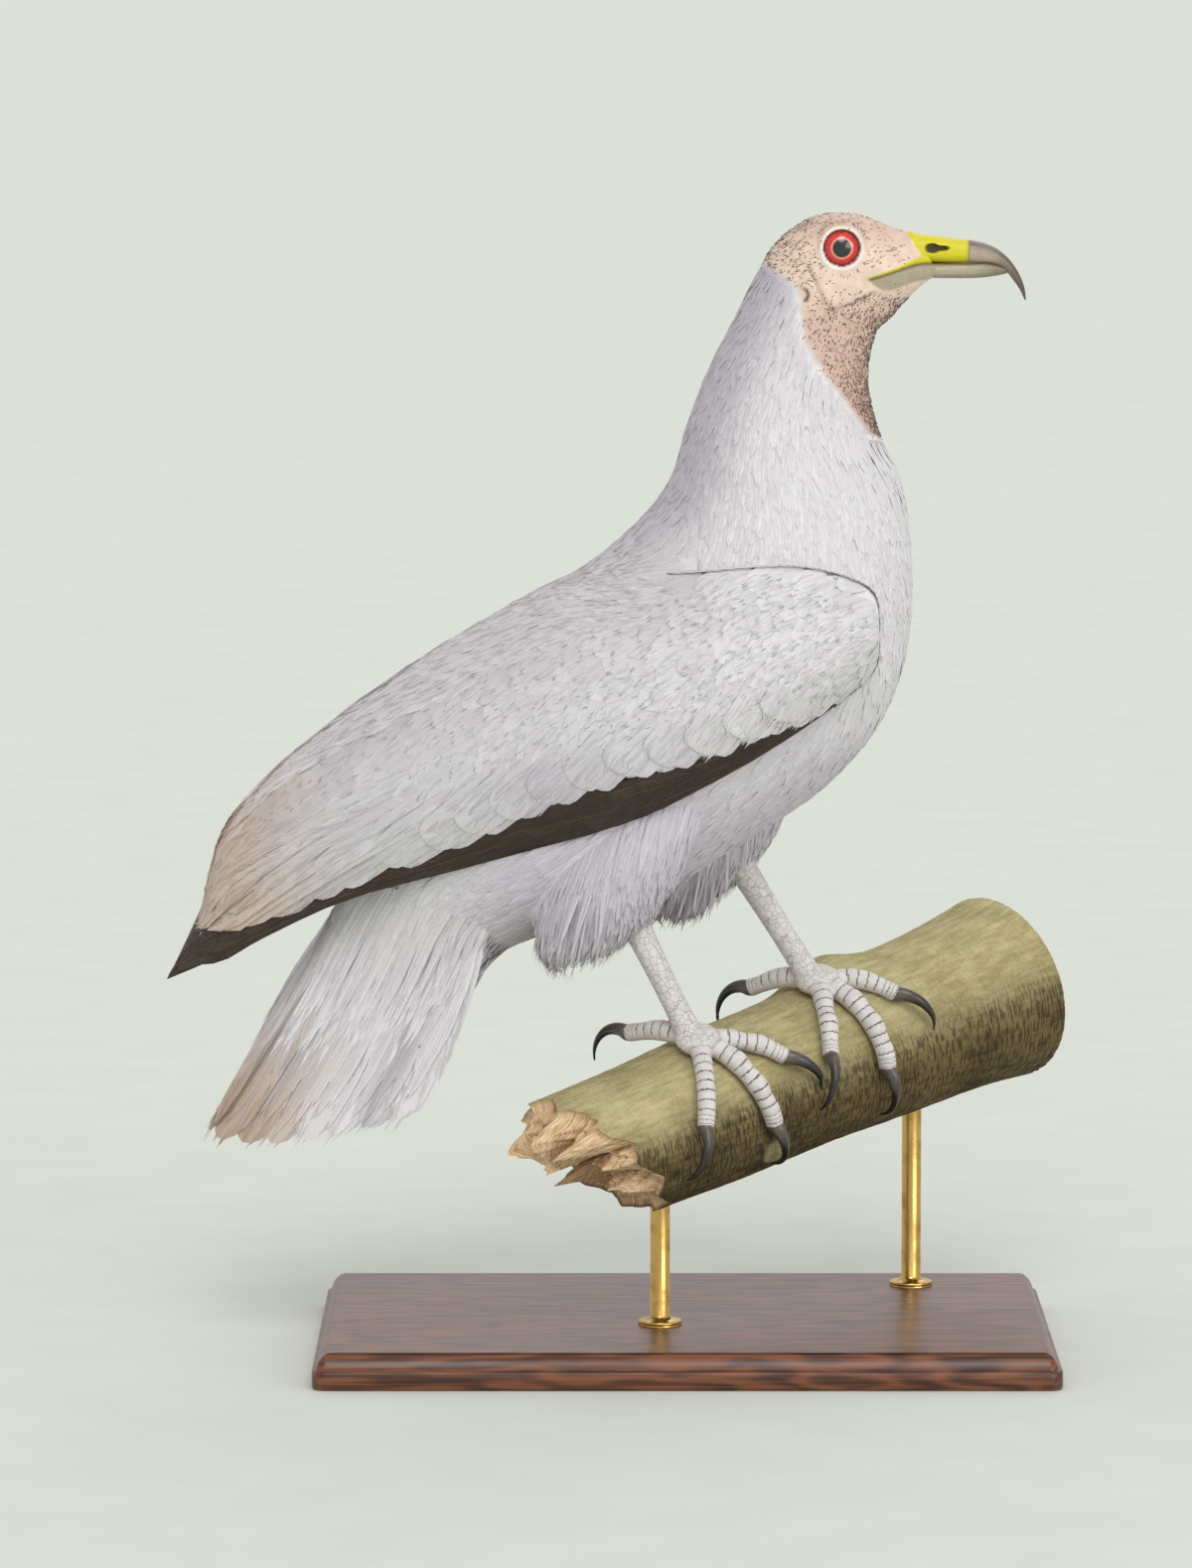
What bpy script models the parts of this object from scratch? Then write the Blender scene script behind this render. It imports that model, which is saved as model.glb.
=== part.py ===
"""Egyptian vulture (Neophron percnopterus), adult, perched on a cut length of branch over a plain display stand.

A still, life-size model. The bird faces +X and its right side faces -Y; Z = 0 is the underside of the
stand's base, whose centre is the origin. Sizes below are in millimetres and become metres in new_mesh().
"""

import math

import bmesh
import bpy
import numpy as np
from mathutils import Matrix, Vector
from mathutils.bvhtree import BVHTree

MM = 0.001
GAP = 0.3  # clearance between neighbouring pieces

# ---- the bird's body ---------------------------------------------------------------------------------
# Sections from the tail root to the bill's base: dorsal point (x, z), ventral point (x, z), half-width.
BODY_SECTIONS = (
    ((-183.0, 212.0), (-128.0, 176.0), 9.0),  # 0 tail coverts
    ((-172.5, 235.3), (-110.0, 189.0), 20.0),
    ((-159.0, 256.9), (-95.0, 200.6), 34.0),
    ((-145.0, 287.1), (-77.5, 209.2), 46.0),  # 3 vent
    ((-125.0, 322.3), (-45.0, 219.2), 57.0),
    ((-99.0, 355.0), (-2.5, 239.3), 64.0),  # 5 belly
    ((-68.5, 384.6), (39.0, 264.0), 67.0),
    ((-43.5, 402.2), (74.0, 289.6), 69.0),  # 7 mantle and breast
    ((-25.0, 418.8), (101.5, 324.8), 68.0),
    ((-15.0, 430.4), (113.5, 372.5), 63.0),
    ((-6.5, 443.9), (110.0, 432.9), 54.0),  # 10 base of the neck
    ((0.5, 468.1), (97.0, 464.5), 45.0),
    ((11.0, 495.7), (91.0, 490.2), 36.0),  # 12 hackled neck
    ((24.0, 521.5), (94.5, 513.5), 28.5),
    ((36.0, 545.0), (102.5, 522.5), 24.5),  # 14 nape and throat
    ((47.0, 561.5), (107.5, 528.5), 23.5),
    ((65.0, 572.8), (112.5, 533.2), 22.5),  # 16 crown and jaw
    ((85.0, 573.5), (117.5, 538.0), 18.0),
    ((106.0, 566.3), (123.0, 541.8), 10.0),  # 18 forehead and chin
)
NECK_FROM = 10.5  # section numbers where the trunk, neck and head part
HEAD_FROM = 13.5
BODY_SIDES = 20
HEAD_SQUARENESS = 2.7  # 2 is an ellipse; the head's sides are flatter

EYE_CENTRE = (77.3, 13.0, 557.6)
EYE_RADIUS = 11.0
SOCKET_CLEARANCE = 0.4

# Bill sections: dorsal point, ventral point, half-width.
CERE_SECTIONS = (
    ((106.8, 566.0), (118.5, 550.0), 9.4),
    ((117.0, 564.0), (121.5, 549.8), 8.4),
    ((130.0, 562.4), (130.5, 549.6), 7.4),
    ((141.3, 561.0), (141.3, 549.6), 6.6),
)
UPPER_BILL_SECTIONS = (
    ((141.7, 561.0), (141.7, 549.6), 6.6),
    ((148.5, 559.6), (148.0, 549.4), 6.0),
    ((155.5, 556.6), (153.5, 549.0), 5.2),
    ((162.0, 551.0), (158.8, 546.6), 4.2),
    ((166.8, 543.8), (163.4, 541.2), 3.0),
    ((169.4, 537.0), (167.0, 536.2), 1.8),
    ((170.2, 531.2), (169.4, 531.0), 0.7),
)
LOWER_BILL_SECTIONS = (
    ((118.5, 549.0), (123.5, 542.0), 7.4),
    ((128.0, 549.0), (129.0, 541.8), 6.8),
    ((142.0, 548.9), (142.0, 541.8), 5.6),
    ((151.0, 548.0), (151.0, 542.5), 4.4),
    ((159.3, 545.2), (159.3, 543.6), 2.0),
)
BILL_SIDES = 12

# ---- folded wings ------------------------------------------------------------------------------------
# Sections from the wrist to the tip: upper edge (x, z, distance from the midline), lower edge (the same),
# the outer surface's greatest distance from the midline, and the thickness.
WING_SECTIONS = (
    ((95.5, 374.0, 57.0), (95.5, 363.0, 56.0), 62.0, 14.0),
    ((90.0, 391.0, 54.0), (91.0, 347.0, 56.0), 71.0, 22.0),
    ((55.0, 402.0, 48.0), (58.0, 321.0, 61.0), 79.0, 26.0),
    ((5.0, 399.0, 43.0), (17.0, 297.0, 65.0), 84.0, 26.0),
    ((-52.0, 391.0, 28.0), (-28.0, 275.7, 64.0), 83.0, 22.0),
    ((-104.0, 365.0, 9.0), (-75.0, 262.0, 58.0), 76.0, 14.0),
    ((-145.0, 339.0, 4.0), (-122.0, 247.5, 48.0), 64.0, 9.0),
    ((-180.0, 313.0, 2.5), (-168.0, 234.0, 37.0), 49.0, 6.0),
    ((-210.0, 287.5, 2.5), (-206.0, 216.5, 27.0), 36.0, 5.0),
    ((-233.0, 260.0, 2.5), (-228.0, 205.5, 21.0), 26.0, 4.0),
    ((-243.0, 228.0, 2.5), (-243.0, 197.5, 15.0), 18.0, 3.0),
    ((-258.0, 195.0, 6.5), (-261.5, 189.0, 8.5), 8.5, 1.8),
)
# Share of each section's outer arc, from the upper edge, that the white coverts cover. The rest is the
# black flight feathers' strip.
COVERT_SHARE = (1.0, 1.0, 0.975, 0.90, 0.82, 0.835, 0.88, 0.92, 0.885, 0.79, 0.46, 0.0)
COVERTS_FROM, COVERTS_TO = 0.0, 10.0
FLIGHT_FROM, FLIGHT_TO = 1.9, 11.0
FLIGHT_INSET = 1.2  # how far the flight feathers lie inside the coverts' surface, where the wing is thick
WING_ARC_POINTS = 7
FLIGHT_ARC_POINTS = 4
EDGE_THINNING = 0.5  # thickness at a wing's edges, as a share of its full thickness
WING_PROUD = (4.0, 9.0)  # least height over the trunk, at the wing's edges and along its middle

# ---- wedge-shaped tail -------------------------------------------------------------------------------
TAIL_FEATHERS = 14
TAIL_ROOT = (-134.0, 0.0, 275.0)
TAIL_SLOPE = math.radians(58.5)  # below the horizontal, towards -X
TAIL_ROLL = math.radians(36.0)  # the right half is turned down, towards -Y
TAIL_ROOF = math.radians(32.0)  # each half slopes away from the middle feathers
TAIL_ROOT_HALF_WIDTH = 52.0
TAIL_END_HALF_WIDTH = 84.0
TAIL_LENGTH = 200.0  # middle feathers, from TAIL_ROOT
TAIL_STEP = 70.0  # how much shorter the outer feathers are
TAIL_THICKNESS = 2.6
TAIL_SCALLOP = 5.0  # depth of the notch between neighbouring feather tips
TAIL_ROWS = 4

# ---- legs --------------------------------------------------------------------------------------------
# Feathered thigh of the right leg: front point (x, z), back point (x, z), distance from the midline,
# half-width. The left leg stands a step ahead of it.
THIGH_SECTIONS = (
    ((25.0, 302.0), (-62.0, 264.0), 34.0, 26.0),
    ((6.0, 264.0), (-71.0, 240.0), 36.0, 27.0),
    ((-8.0, 238.0), (-74.0, 221.0), 37.0, 22.0),
    ((-21.0, 221.0), (-73.0, 207.0), 37.0, 15.0),
    ((-36.0, 209.0), (-66.0, 199.0), 37.0, 6.0),
)
LEFT_STEP = (51.0, 17.0)
THIGH_SIDES = 14
HOCKS = {"right": (-34.0, 34.0, 238.0), "left": (20.5, 34.0, 255.0)}  # inside the thigh feathers
SHANK_RADII = (8.0, 7.2, 6.4, 6.1, 6.8)
SHANK_BACK = 3.0  # how far behind the pad's centre the shank ends
FOOT_PAD = (12.0, 12.0, 7.0)

# Toes: heading at mid-length, measured from straight down the branch's near side towards its far end;
# how far the heading turns along the toe; length from the pad's centre to the claw; root and end radii;
# and how far the toe's end is lifted off the bark.
TOES = {
    "right": {
        "middle_toe": (16.0, -10.0, 61.0, 5.4, 4.5, 0.0),
        "inner_toe": (50.0, -30.0, 47.0, 5.0, 4.3, 0.0),
        "outer_toe": (-31.0, 8.0, 53.0, 5.0, 4.3, 0.0),
        "hind_toe": (193.0, 0.0, 40.0, 5.3, 4.6, 8.0),
    },
    "left": {
        "middle_toe": (5.0, -16.0, 62.0, 5.4, 4.5, 0.0),
        "outer_toe": (44.0, -36.0, 42.0, 5.0, 4.3, 0.0),
        "inner_toe": (-31.0, 8.0, 51.0, 5.0, 4.3, 0.0),
        "hind_toe": (199.0, 0.0, 39.0, 5.3, 4.6, 4.0),
    },
}
TOE_STEP = 8.0
CLAW_CURVE_RADIUS = 16.0
CLAW_RISE = math.radians(34.0)
CLAW_STEP = math.radians(15.0)
CLAW_MOST_STEPS = 8
CLAW_ROOT_RADIUS, CLAW_TIP_RADIUS = 4.2, 0.5

# ---- perch and stand ---------------------------------------------------------------------------------
PERCH_POINT = Vector((9.0, -15.7, 123.4))  # on the branch's axis, near the right foot
PERCH_AXIS = Vector((0.7245, 0.6523, 0.208)).normalized()
PERCH_TO = 214.0  # the sawn far end, measured along the axis
PERCH_BREAK = (-74.0, 26.0)  # the broken end's middle, and how much further the top reaches
PERCH_RADIUS, PERCH_TAPER = 39.0, 0.022  # at PERCH_POINT, and growth per millimetre
PERCH_FLARE = 5.0  # extra radius at the far end
PERCH_SIDES = 20
PERCH_RINGS = 13
KNOT = (104.0, math.radians(-22.0), 9.0, 21.0)  # along, round, height and spread
BARK_TOOTH = 4.0
SPLINTER_LENGTHS = (10.0, 30.0, 16.0, 24.0, 8.0, 20.0, 28.0, 14.0, 22.0, 12.0)
FEET_ON_PERCH = {"right": (-9.0, math.radians(20.0)), "left": (80.5, math.radians(13.0))}

BASE_SIZE = (370.0, 250.0, 18.0)
BASE_EDGE = 4.0
ROD_RADIUS = 5.0
ROD_COLLAR = (11.0, 4.0)  # radius and height
RODS = {"stand_rod_front": -30.0, "stand_rod_rear": 150.0}  # where each meets the branch, along it
ROD_SIDES = 16

COLOURS = {
    "plumage": ((0.78, 0.76, 0.77), 0.85),
    "facial_skin": ((0.74, 0.55, 0.45), 0.55),
    "cere": ((0.80, 0.68, 0.05), 0.45),
    "horn": ((0.30, 0.27, 0.23), 0.35),
    "eye": ((0.60, 0.04, 0.03), 0.10),
    "flight_feathers": ((0.055, 0.045, 0.038), 0.70),
    "leg_skin": ((0.62, 0.58, 0.57), 0.60),
    "claw": ((0.05, 0.045, 0.04), 0.30),
    "bark": ((0.25, 0.22, 0.11), 0.90),
    "stand_wood": ((0.10, 0.045, 0.02), 0.40),
    "stand_metal": ((0.55, 0.45, 0.25), 0.30),
}


# ---- helpers -----------------------------------------------------------------------------------------
def clear_scene():
    for old in list(bpy.data.objects):
        bpy.data.objects.remove(old)


def make_material(name):
    colour, roughness = COLOURS[name]
    material = bpy.data.materials.new(name)
    material.use_nodes = True
    shader = material.node_tree.nodes["Principled BSDF"]
    shader.inputs["Base Color"].default_value = (*colour, 1.0)
    shader.inputs["Roughness"].default_value = roughness
    shader.inputs["Metallic"].default_value = 1.0 if name == "stand_metal" else 0.0
    return material


def finish_object(obj, material, smooth=True):
    """Gives the object its material and shading, and puts it in the model's collection."""
    obj.data.materials.clear()
    obj.data.materials.append(MATERIALS[material])
    if smooth:
        obj.data.shade_smooth()
        obj.data.set_sharp_from_angle(angle=math.radians(40.0))
    for collection in list(obj.users_collection):
        collection.objects.unlink(obj)
    MODEL.objects.link(obj)
    return obj


def new_mesh(name, points, faces, material):
    """A closed mesh object from points in millimetres, with its faces turned outwards."""
    mesh = bpy.data.meshes.new(name)
    mesh.from_pydata([tuple(Vector(p) * MM) for p in points], [], faces)
    work = bmesh.new()
    work.from_mesh(mesh)
    bmesh.ops.remove_doubles(work, verts=work.verts, dist=0.00001)
    bmesh.ops.recalc_face_normals(work, faces=work.faces)
    work.to_mesh(mesh)
    work.free()
    return finish_object(bpy.data.objects.new(name, mesh), material)


def spline(rows, u):
    """Catmull-Rom interpolation through rows of numbers, at position u counted in rows."""
    rows = np.asarray(rows, float)
    i = min(max(int(math.floor(u)), 0), len(rows) - 2)
    t = u - i
    before, after = rows[max(i - 1, 0)], rows[min(i + 2, len(rows) - 1)]
    a, b = rows[i], rows[i + 1]
    return 0.5 * (
        2 * a
        + (b - before) * t
        + (2 * before - 5 * a + 4 * b - after) * t**2
        + (3 * a - before - 3 * b + after) * t**3
    )


def loft(name, rings, material):
    """A solid through rings of equally many points, closed by a flat face at each end."""
    count = len(rings[0])
    points = [p for ring in rings for p in ring]
    faces = [tuple(range(count)), tuple(range(len(points) - count, len(points)))]
    for r in range(len(rings) - 1):
        for k in range(count):
            a, b = r * count + k, r * count + (k + 1) % count
            faces.append((a, b, b + count, a + count))
    return new_mesh(name, points, faces, material)


def bake(obj):
    """Replaces the object's mesh by its evaluated one, without modifiers."""
    graph = bpy.context.evaluated_depsgraph_get()
    bpy.context.view_layer.update()
    mesh = bpy.data.meshes.new_from_object(obj.evaluated_get(graph))
    obj.modifiers.clear()
    obj.data = mesh
    return obj


def keep_largest(obj):
    """Removes what a cut left loose beside the main piece."""
    work = bmesh.new()
    work.from_mesh(obj.data)
    work.verts.ensure_lookup_table()
    unseen, islands = set(work.verts), []
    while unseen:
        island, edge = set(), [unseen.pop()]
        while edge:
            vertex = edge.pop()
            island.add(vertex)
            near = {e.other_vert(vertex) for e in vertex.link_edges} & unseen
            unseen -= near
            edge.extend(near)
        islands.append(island)
    islands.sort(key=len)
    for island in islands[:-1]:
        bmesh.ops.delete(work, geom=list(island), context="VERTS")
    bmesh.ops.recalc_face_normals(work, faces=work.faces)
    work.to_mesh(obj.data)
    work.free()
    return obj


def combine(target, other, operation):
    modifier = target.modifiers.new(operation.title(), "BOOLEAN")
    modifier.operation = operation
    modifier.solver = "EXACT"
    modifier.object = other
    return bake(target)


def join_with(target, other):
    """Unites another object with the target and removes it."""
    combine(target, other, "UNION")
    bpy.data.objects.remove(other)
    return target


def make_room(target, *neighbours):
    """Cuts the target back to a small gap from each neighbour."""
    for neighbour in neighbours:
        cutter = bpy.data.objects.new("cutter", neighbour.data.copy())
        CUTTERS.objects.link(cutter)
        normals = [v.normal.copy() for v in cutter.data.vertices]
        for vertex, normal in zip(cutter.data.vertices, normals):
            vertex.co += normal * (GAP + 0.1) * MM
        cutter.hide_render = True
        cutter.display_type = "WIRE"
        combine(target, cutter, "DIFFERENCE")
        bpy.data.objects.remove(cutter)
        keep_largest(target)
    return target


def tube(name, points, radii, material, resolution=2):
    """A round tube through points, with its own radius at each and both ends capped."""
    curve = bpy.data.curves.new(name, "CURVE")
    curve.dimensions = "3D"
    curve.bevel_depth = MM
    curve.bevel_resolution = resolution
    curve.use_fill_caps = True
    line = curve.splines.new("POLY")
    line.points.add(len(points) - 1)
    for target, point, radius in zip(line.points, points, radii):
        target.co = (*(Vector(point) * MM), 1.0)
        target.radius = radius
    source = bpy.data.objects.new(name + "_curve", curve)
    MODEL.objects.link(source)
    bpy.context.view_layer.update()
    graph = bpy.context.evaluated_depsgraph_get()
    mesh = bpy.data.meshes.new_from_object(source.evaluated_get(graph))
    bpy.data.objects.remove(source)
    work = bmesh.new()
    work.from_mesh(mesh)
    bmesh.ops.remove_doubles(work, verts=work.verts, dist=0.00001)
    bmesh.ops.recalc_face_normals(work, faces=work.faces)
    work.to_mesh(mesh)
    work.free()
    return finish_object(bpy.data.objects.new(name, mesh), material)


def side_sign(side):
    return -1.0 if side == "right" else 1.0


# ---- body, head and bill -----------------------------------------------------------------------------
def section_ring(section, sides, squareness=2.0):
    """An oval between a dorsal and a ventral point of the midline, with the given half-width."""
    dorsal_x, dorsal_z, ventral_x, ventral_z, half_width = section
    middle = np.array(((dorsal_x + ventral_x) / 2, 0.0, (dorsal_z + ventral_z) / 2))
    rise = np.array(((dorsal_x - ventral_x) / 2, 0.0, (dorsal_z - ventral_z) / 2))
    out = np.array((0.0, half_width, 0.0))
    ring = []
    for turn in np.linspace(0.0, 2 * math.pi, sides, endpoint=False):
        up, across = math.sin(turn), math.cos(turn)
        size = (abs(up) ** squareness + abs(across) ** squareness) ** (-1.0 / squareness)
        ring.append(middle + (rise * up + out * across) * size)
    return ring


def flat_rows(sections):
    return [(*dorsal, *ventral, half_width) for dorsal, ventral, half_width in sections]


def section_loft(name, sections, first, last, rings, sides, material, squareness=(2.0, 2.0)):
    """A loft between two sections; its squareness changes evenly from the first to the last."""
    rows = flat_rows(sections)
    where = np.linspace(first, last, rings)
    square = np.linspace(*squareness, rings)
    outlines = [section_ring(spline(rows, u), sides, power) for u, power in zip(where, square)]
    return loft(name, outlines, material)


def make_body():
    """Trunk, neck and head, which part at two thin flat cuts."""
    last = len(BODY_SECTIONS) - 1
    thin = 0.015  # of a section's spacing, about the standard gap
    trunk = section_loft("trunk", BODY_SECTIONS, 0, NECK_FROM, 18, BODY_SIDES, "plumage")
    neck = section_loft(
        "neck", BODY_SECTIONS, NECK_FROM + thin, HEAD_FROM - thin, 9, BODY_SIDES, "plumage"
    )
    head = section_loft(
        "head", BODY_SECTIONS, HEAD_FROM, last, 11, BODY_SIDES, "facial_skin", (2.0, HEAD_SQUARENESS)
    )
    return trunk, neck, head


def ball(name, centre, radius, material, segments=16, rings=9):
    work = bmesh.new()
    bmesh.ops.create_uvsphere(
        work, u_segments=segments, v_segments=rings, radius=radius * MM
    )
    bmesh.ops.rotate(work, verts=work.verts, matrix=Matrix.Rotation(math.pi / 2, 3, "X"))
    bmesh.ops.translate(work, verts=work.verts, vec=Vector(centre) * MM)
    mesh = bpy.data.meshes.new(name)
    work.to_mesh(mesh)
    work.free()
    return finish_object(bpy.data.objects.new(name, mesh), material)


def make_eyes(head):
    x, y, z = EYE_CENTRE
    for side in ("right", "left"):
        centre = (x, side_sign(side) * y, z)
        socket = ball("socket", centre, EYE_RADIUS + SOCKET_CLEARANCE, "eye", 16, 9)
        combine(head, socket, "DIFFERENCE")
        bpy.data.objects.remove(socket)
        ball("eye_" + side, centre, EYE_RADIUS, "eye")


def make_bill():
    section_loft("cere", CERE_SECTIONS, 0, 3, 5, BILL_SIDES, "cere")
    section_loft("bill_upper", UPPER_BILL_SECTIONS, 0, 6, 11, BILL_SIDES, "horn")
    section_loft("bill_lower", LOWER_BILL_SECTIONS, 0, 4, 7, BILL_SIDES, "horn")


# ---- wings -------------------------------------------------------------------------------------------
def trunk_reach(trunk_tree, x, z):
    """How far the trunk's side is from the midline at that place, or None beside the trunk."""
    start = Vector((x, 500.0, z)) * MM
    hit = trunk_tree.ray_cast(start, Vector((0.0, -1.0, 0.0)))[0]
    return hit.y / MM if hit else None


def wing_ring(u, share_from, share_to, arc_points, inset, sign, trunk_tree):
    """One closed wing section: the outer arc between two shares of its length, then the inner side back."""
    rows = [(*upper, *lower, reach, thick) for upper, lower, reach, thick in WING_SECTIONS]
    row = spline(rows, u)
    upper = np.array((row[0], row[2], row[1]))
    lower = np.array((row[3], row[5], row[4]))
    bulge = (upper + lower) / 2
    bulge[1] = row[6]
    control = 2 * bulge - (upper + lower) / 2
    thickness = row[7]
    inset *= min(1.0, thickness / 10)
    outer, inner = [], []
    for t in np.linspace(share_from, share_to, arc_points):
        x, y, z = (1 - t) ** 2 * upper + 2 * t * (1 - t) * control + t**2 * lower
        middle = math.sin(math.pi * min(max(t, 0.0), 1.0))
        depth = max(thickness * (EDGE_THINNING + (1 - EDGE_THINNING) * middle), 1.4)
        trunk_y = trunk_reach(trunk_tree, x, z)
        if trunk_y is None:
            y_inner = y - inset - depth
        else:
            y = max(y, trunk_y + WING_PROUD[0] + (WING_PROUD[1] - WING_PROUD[0]) * middle)
            y_inner = max(y - inset - depth, trunk_y - 1.0)
        outer.append(np.array((x, sign * (y - inset), z)))
        inner.append(np.array((x, sign * max(y_inner, 2 * GAP), z)))
    return outer + inner[::-1]


def covert_share(u):
    return float(np.interp(u, range(len(COVERT_SHARE)), COVERT_SHARE))


def make_wing(side, trunk):
    """The folded wing: white coverts, and below them the black strip of flight feathers."""
    sign = side_sign(side)
    split = 0.006
    tree = BVHTree.FromPolygons(
        [v.co for v in trunk.data.vertices], [tuple(f.vertices) for f in trunk.data.polygons]
    )
    white = [
        wing_ring(u, 0.0, covert_share(u) - split, WING_ARC_POINTS, 0.0, sign, tree)
        for u in np.linspace(COVERTS_FROM, COVERTS_TO, 16)
    ]
    black = [
        wing_ring(u, covert_share(u) + split, 1.0, FLIGHT_ARC_POINTS, FLIGHT_INSET, sign, tree)
        for u in np.linspace(FLIGHT_FROM, FLIGHT_TO, 16)
    ]
    coverts = loft("wing_" + side, white, "plumage")
    flight = loft("flight_feathers_" + side, black, "flight_feathers")
    make_room(coverts, trunk)
    make_room(flight, trunk, coverts)
    return coverts, flight


# ---- tail --------------------------------------------------------------------------------------------
def tail_point(across, along, level):
    """A point of the fan: across runs -1 to 1 from the right to the left edge, along 0 to 1."""
    slope = np.array((-math.cos(TAIL_SLOPE), 0.0, -math.sin(TAIL_SLOPE)))
    up = np.array((-math.sin(TAIL_SLOPE), 0.0, math.cos(TAIL_SLOPE)))
    left = np.array((0.0, 1.0, 0.0))
    turned_left = left * math.cos(TAIL_ROLL) + up * math.sin(TAIL_ROLL)
    turned_up = up * math.cos(TAIL_ROLL) - left * math.sin(TAIL_ROLL)
    feather = (across + 1) / 2 * TAIL_FEATHERS
    notch = abs(2 * (feather - math.floor(feather)) - 1) ** 2
    length = TAIL_LENGTH - TAIL_STEP * abs(across) ** 1.4 - TAIL_SCALLOP * notch
    growth = math.sin(math.pi / 2 * along)
    width = TAIL_ROOT_HALF_WIDTH + (TAIL_END_HALF_WIDTH - TAIL_ROOT_HALF_WIDTH) * growth
    ridge = math.sqrt(across**2 + 0.01) - 0.1  # rounds the roof's ridge
    return (
        np.array(TAIL_ROOT)
        + slope * length * along
        + turned_left * across * width * math.cos(TAIL_ROOF)
        - turned_up * (ridge * width * math.sin(TAIL_ROOF) + level)
    )


def make_tail(*neighbours):
    columns = np.linspace(-1.0, 1.0, 2 * TAIL_FEATHERS + 1)
    rings = []
    for along in np.linspace(0.0, 1.0, TAIL_ROWS):
        thickness = TAIL_THICKNESS * (1.0 - 0.6 * along)
        top = [tail_point(across, along, 0.0) for across in columns]
        under = [tail_point(across, along, thickness) for across in columns[::-1]]
        rings.append(top + under)
    tail = loft("tail", rings, "plumage")
    return make_room(tail, *neighbours)


# ---- perch -------------------------------------------------------------------------------------------
PERCH_SIDEWAYS = PERCH_AXIS.cross(Vector((0.0, 0.0, 1.0))).normalized()
PERCH_UP = PERCH_SIDEWAYS.cross(PERCH_AXIS).normalized()


def bark_radius(along, turn):
    """The branch's radius at a place along its axis and an angle from its top towards the near side."""
    knot_along, knot_turn, height, spread = KNOT
    radius = PERCH_RADIUS + PERCH_TAPER * along + PERCH_FLARE * max(along / PERCH_TO, 0.0) ** 4
    away = math.hypot(along - knot_along, radius * (turn - knot_turn))
    wave = 0.6 * math.sin(along * 0.055 + 1.0) * math.cos(2 * turn)
    return radius + wave + height * math.exp(-((away / spread) ** 2))


def perch_place(along, turn, distance):
    """A point at that distance from the branch's axis."""
    outward = PERCH_UP * math.cos(turn) + PERCH_SIDEWAYS * math.sin(turn)
    return PERCH_POINT + PERCH_AXIS * along + outward * distance


def broken_edge(turn, k):
    """How far along the axis the bark ends, at the k-th corner of the section."""
    middle, slant = PERCH_BREAK
    return middle - slant * math.cos(turn) + BARK_TOOTH * (-1) ** k


def make_perch():
    """The branch: round bark, a slanting broken end with splinters, and a sawn far end."""
    turns = np.linspace(-math.pi, math.pi, PERCH_SIDES, endpoint=False)
    rings = []
    for share in np.linspace(0.0, 1.0, PERCH_RINGS):
        ring = []
        for k, turn in enumerate(turns):
            along = PERCH_TO + (broken_edge(turn, k) - PERCH_TO) * share
            ring.append(perch_place(along, turn, bark_radius(along, turn)))
        rings.append(ring)
    # The torn wood inside the bark: a shoulder, then splinters whose lengths vary round the end.
    for depth, reach in ((0.86, 0.0), (0.60, 1.0), (0.28, 0.5)):
        ring = []
        for k, turn in enumerate(turns):
            length = SPLINTER_LENGTHS[(k // 2) % len(SPLINTER_LENGTHS)] if k % 2 else 4.0
            along = broken_edge(turn, k) + 2.0 - reach * length
            ring.append(perch_place(along, turn, bark_radius(along, turn) * depth))
        rings.append(ring)
    return loft("perch_branch", rings, "bark")


# ---- legs and feet -----------------------------------------------------------------------------------
def leg_step(side):
    return LEFT_STEP if side == "left" else (0.0, 0.0)


def make_thigh(side, *neighbours):
    step_x, step_z = leg_step(side)
    sign = side_sign(side)
    rows = [
        (fx + step_x, fz + step_z, bx + step_x, bz + step_z, y, half_width)
        for (fx, fz), (bx, bz), y, half_width in THIGH_SECTIONS
    ]
    rings = []
    for u in np.linspace(0.0, len(rows) - 1.0, 10):
        fx, fz, bx, bz, y, half_width = spline(rows, u)
        ring = section_ring((fx, fz, bx, bz, half_width), THIGH_SIDES)
        rings.append([p + np.array((0.0, sign * y, 0.0)) for p in ring])
    thigh = loft("thigh_" + side, rings, "plumage")
    return make_room(thigh, *neighbours)


def pad_centre(side):
    along, turn = FEET_ON_PERCH[side]
    return perch_place(along, turn, bark_radius(along, turn) + FOOT_PAD[2] - 1.0)


def make_shank(side, thigh, perch):
    """The bare shank and the foot's central pad, as one piece."""
    turn = FEET_ON_PERCH[side][1]
    x, y, z = HOCKS[side]
    top = Vector((x, side_sign(side) * y, z))
    foot = pad_centre(side)
    steps = np.linspace(0.0, 1.0, len(SHANK_RADII))
    end = foot - Vector((SHANK_BACK, 0.0, 0.0))
    points = [top.lerp(end, t) for t in steps]
    shank = tube("shank_" + side, points, SHANK_RADII, "leg_skin", resolution=3)
    pad = ball("pad", (0.0, 0.0, 0.0), 1.0, "leg_skin", 12, 7)
    up = (PERCH_UP * math.cos(turn) + PERCH_SIDEWAYS * math.sin(turn)).normalized()
    round_the_branch = PERCH_AXIS.cross(up).normalized()
    turned = Matrix((PERCH_AXIS, round_the_branch, up)).transposed()
    sized = Matrix.Diagonal(Vector(FOOT_PAD))
    pad.data.transform(
        Matrix.Translation(foot * MM) @ (turned @ sized).to_4x4()
    )
    join_with(shank, pad)
    return make_room(shank, thigh, perch)


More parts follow.
